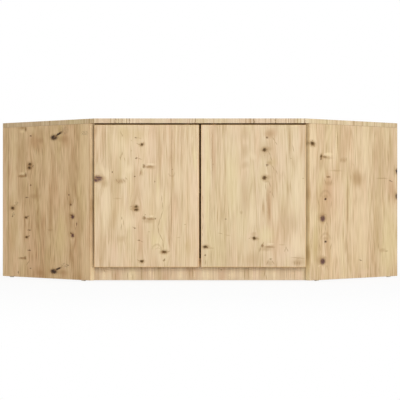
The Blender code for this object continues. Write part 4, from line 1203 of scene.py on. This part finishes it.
def refined(name, width, body, hand):
    startOn(nodes[name])
    bpy.ops.object.duplicate(linked=False)
    piece = bpy.context.object
    piece.name = name + "_rounded"
    piece.data.name = piece.name
    bpy.ops.object.mode_set(mode="EDIT")
    bpy.ops.mesh.select_all(action="SELECT")
    bpy.ops.mesh.remove_doubles(threshold=cleaning["merge"])
    bpy.ops.mesh.dissolve_limited(angle_limit=math.radians(cleaning["flat"]))
    bpy.ops.object.mode_set(mode="OBJECT")
    if "block" in name:
        for seat, facing in blockBores(hand).values():
            boreOut(piece, seat, facing)
    roundEdges(piece, width)
    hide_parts(name)
    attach(piece, body)


for name in list(nodes):
    for word, width in roundings.items():
        if word in name:
            label = name.split("_")[0]
            body = label + "_door" if word == "hinge_cup" else "cabinet"
            refined(name, width, body, hands[label])
print("pressed and moulded pieces rounded")

# Studio: pale floor, soft light, white background
studio = {
    "ambient": 0.50,
    # The floor turns into the white background from the near distance of its fade to the far one
    "floor": {"radius": 12, "corners": 96, "colour": colour(246, 246, 245), "white": 0.88, "fade": (1.1, 3.0)},
    "aim": (0, 0, 0.25),
    "lights": {
        "key": {"place": (1.45, -5.7, 1.6), "size": 3.2, "power": 152},
        "overhead": {"place": (0.0, -0.2, 4.2), "size": 3.0, "power": 40},
        "behind": {"place": (0.0, 4.6, 2.6), "size": 3.0, "power": 70},
    },
}
white = (1, 1, 1, 1)


class Sky(Finish):
    # The world's nodes, added in the same way
    def __init__(self, world):
        self.tree = world.node_tree


def whiteForCamera(finish):
    # 1 for rays from the camera, from gloss and through glass, 0 for the light on the object
    path = finish.node("ShaderNodeLightPath")
    seen = finish.calculate("MAXIMUM", path, path.output("Is Glossy Ray"))
    return finish.calculate("MAXIMUM", seen, path.output("Is Transmission Ray"))


def makeWorld():
    world = bpy.context.scene.world or bpy.data.worlds.new("studio")
    bpy.context.scene.world = world
    world.use_nodes = True
    sky = Sky(world)
    background = world.node_tree.nodes["Background"]
    background.inputs["Color"].default_value = white
    ambient = studio["ambient"]
    sky.feed(background.inputs["Strength"], whiteForCamera(sky) * (1 - ambient) + ambient)


def makeFloor():
    look = studio["floor"]
    bpy.ops.mesh.primitive_circle_add(vertices=look["corners"], radius=look["radius"], fill_type="NGON")
    floor = bpy.context.object
    floor.name = "floor"
    finish = Finish("paleFloor")
    away = finish.length(finish.coordinates())
    share = finish.smooth(away, *look["fade"], look["white"], 1)
    matt = finish.node("ShaderNodeBsdfDiffuse", {}, {"Color": look["colour"]})
    glow = finish.node("ShaderNodeEmission", {}, {"Color": white, "Strength": 1})
    surface = finish.node("ShaderNodeMixShader", {}, {0: share * whiteForCamera(finish), 1: matt, 2: glow})
    finish.feed(finish.tree.nodes["Material Output"].inputs["Surface"], surface)
    floor.data.materials.append(finish.material)


def makeLights():
    for name, light in studio["lights"].items():
        lamp = bpy.data.lights.new(name, "AREA")
        lamp.shape = "DISK"
        lamp.size = light["size"]
        lamp.energy = light["power"]
        item = bpy.data.objects.new(name, lamp)
        bpy.context.collection.objects.link(item)
        item.location = light["place"]
        item.rotation_euler = (Vector(studio["aim"]) - item.location).to_track_quat("-Z", "Y").to_euler()


makeWorld()
makeFloor()
makeLights()
print("studio ready")

# Camera: level, square to the doors, long lens
view = {
    "lens": 147.87,
    "sensor": 36,
    "place": (-0.0003, -6.0656, 0.2750),
    "turn": (math.radians(90), 0, 0),
    "reach": 100,
}


def makeCamera():
    lens = bpy.data.cameras.new("camera")
    lens.lens = view["lens"]
    lens.sensor_width = view["sensor"]
    lens.clip_end = view["reach"]
    camera = bpy.data.objects.new("camera", lens)
    bpy.context.collection.objects.link(camera)
    camera.location = view["place"]
    camera.rotation_euler = view["turn"]
    bpy.context.scene.camera = camera
    bpy.context.scene.view_settings.view_transform = "Standard"


makeCamera()
print("camera ready")
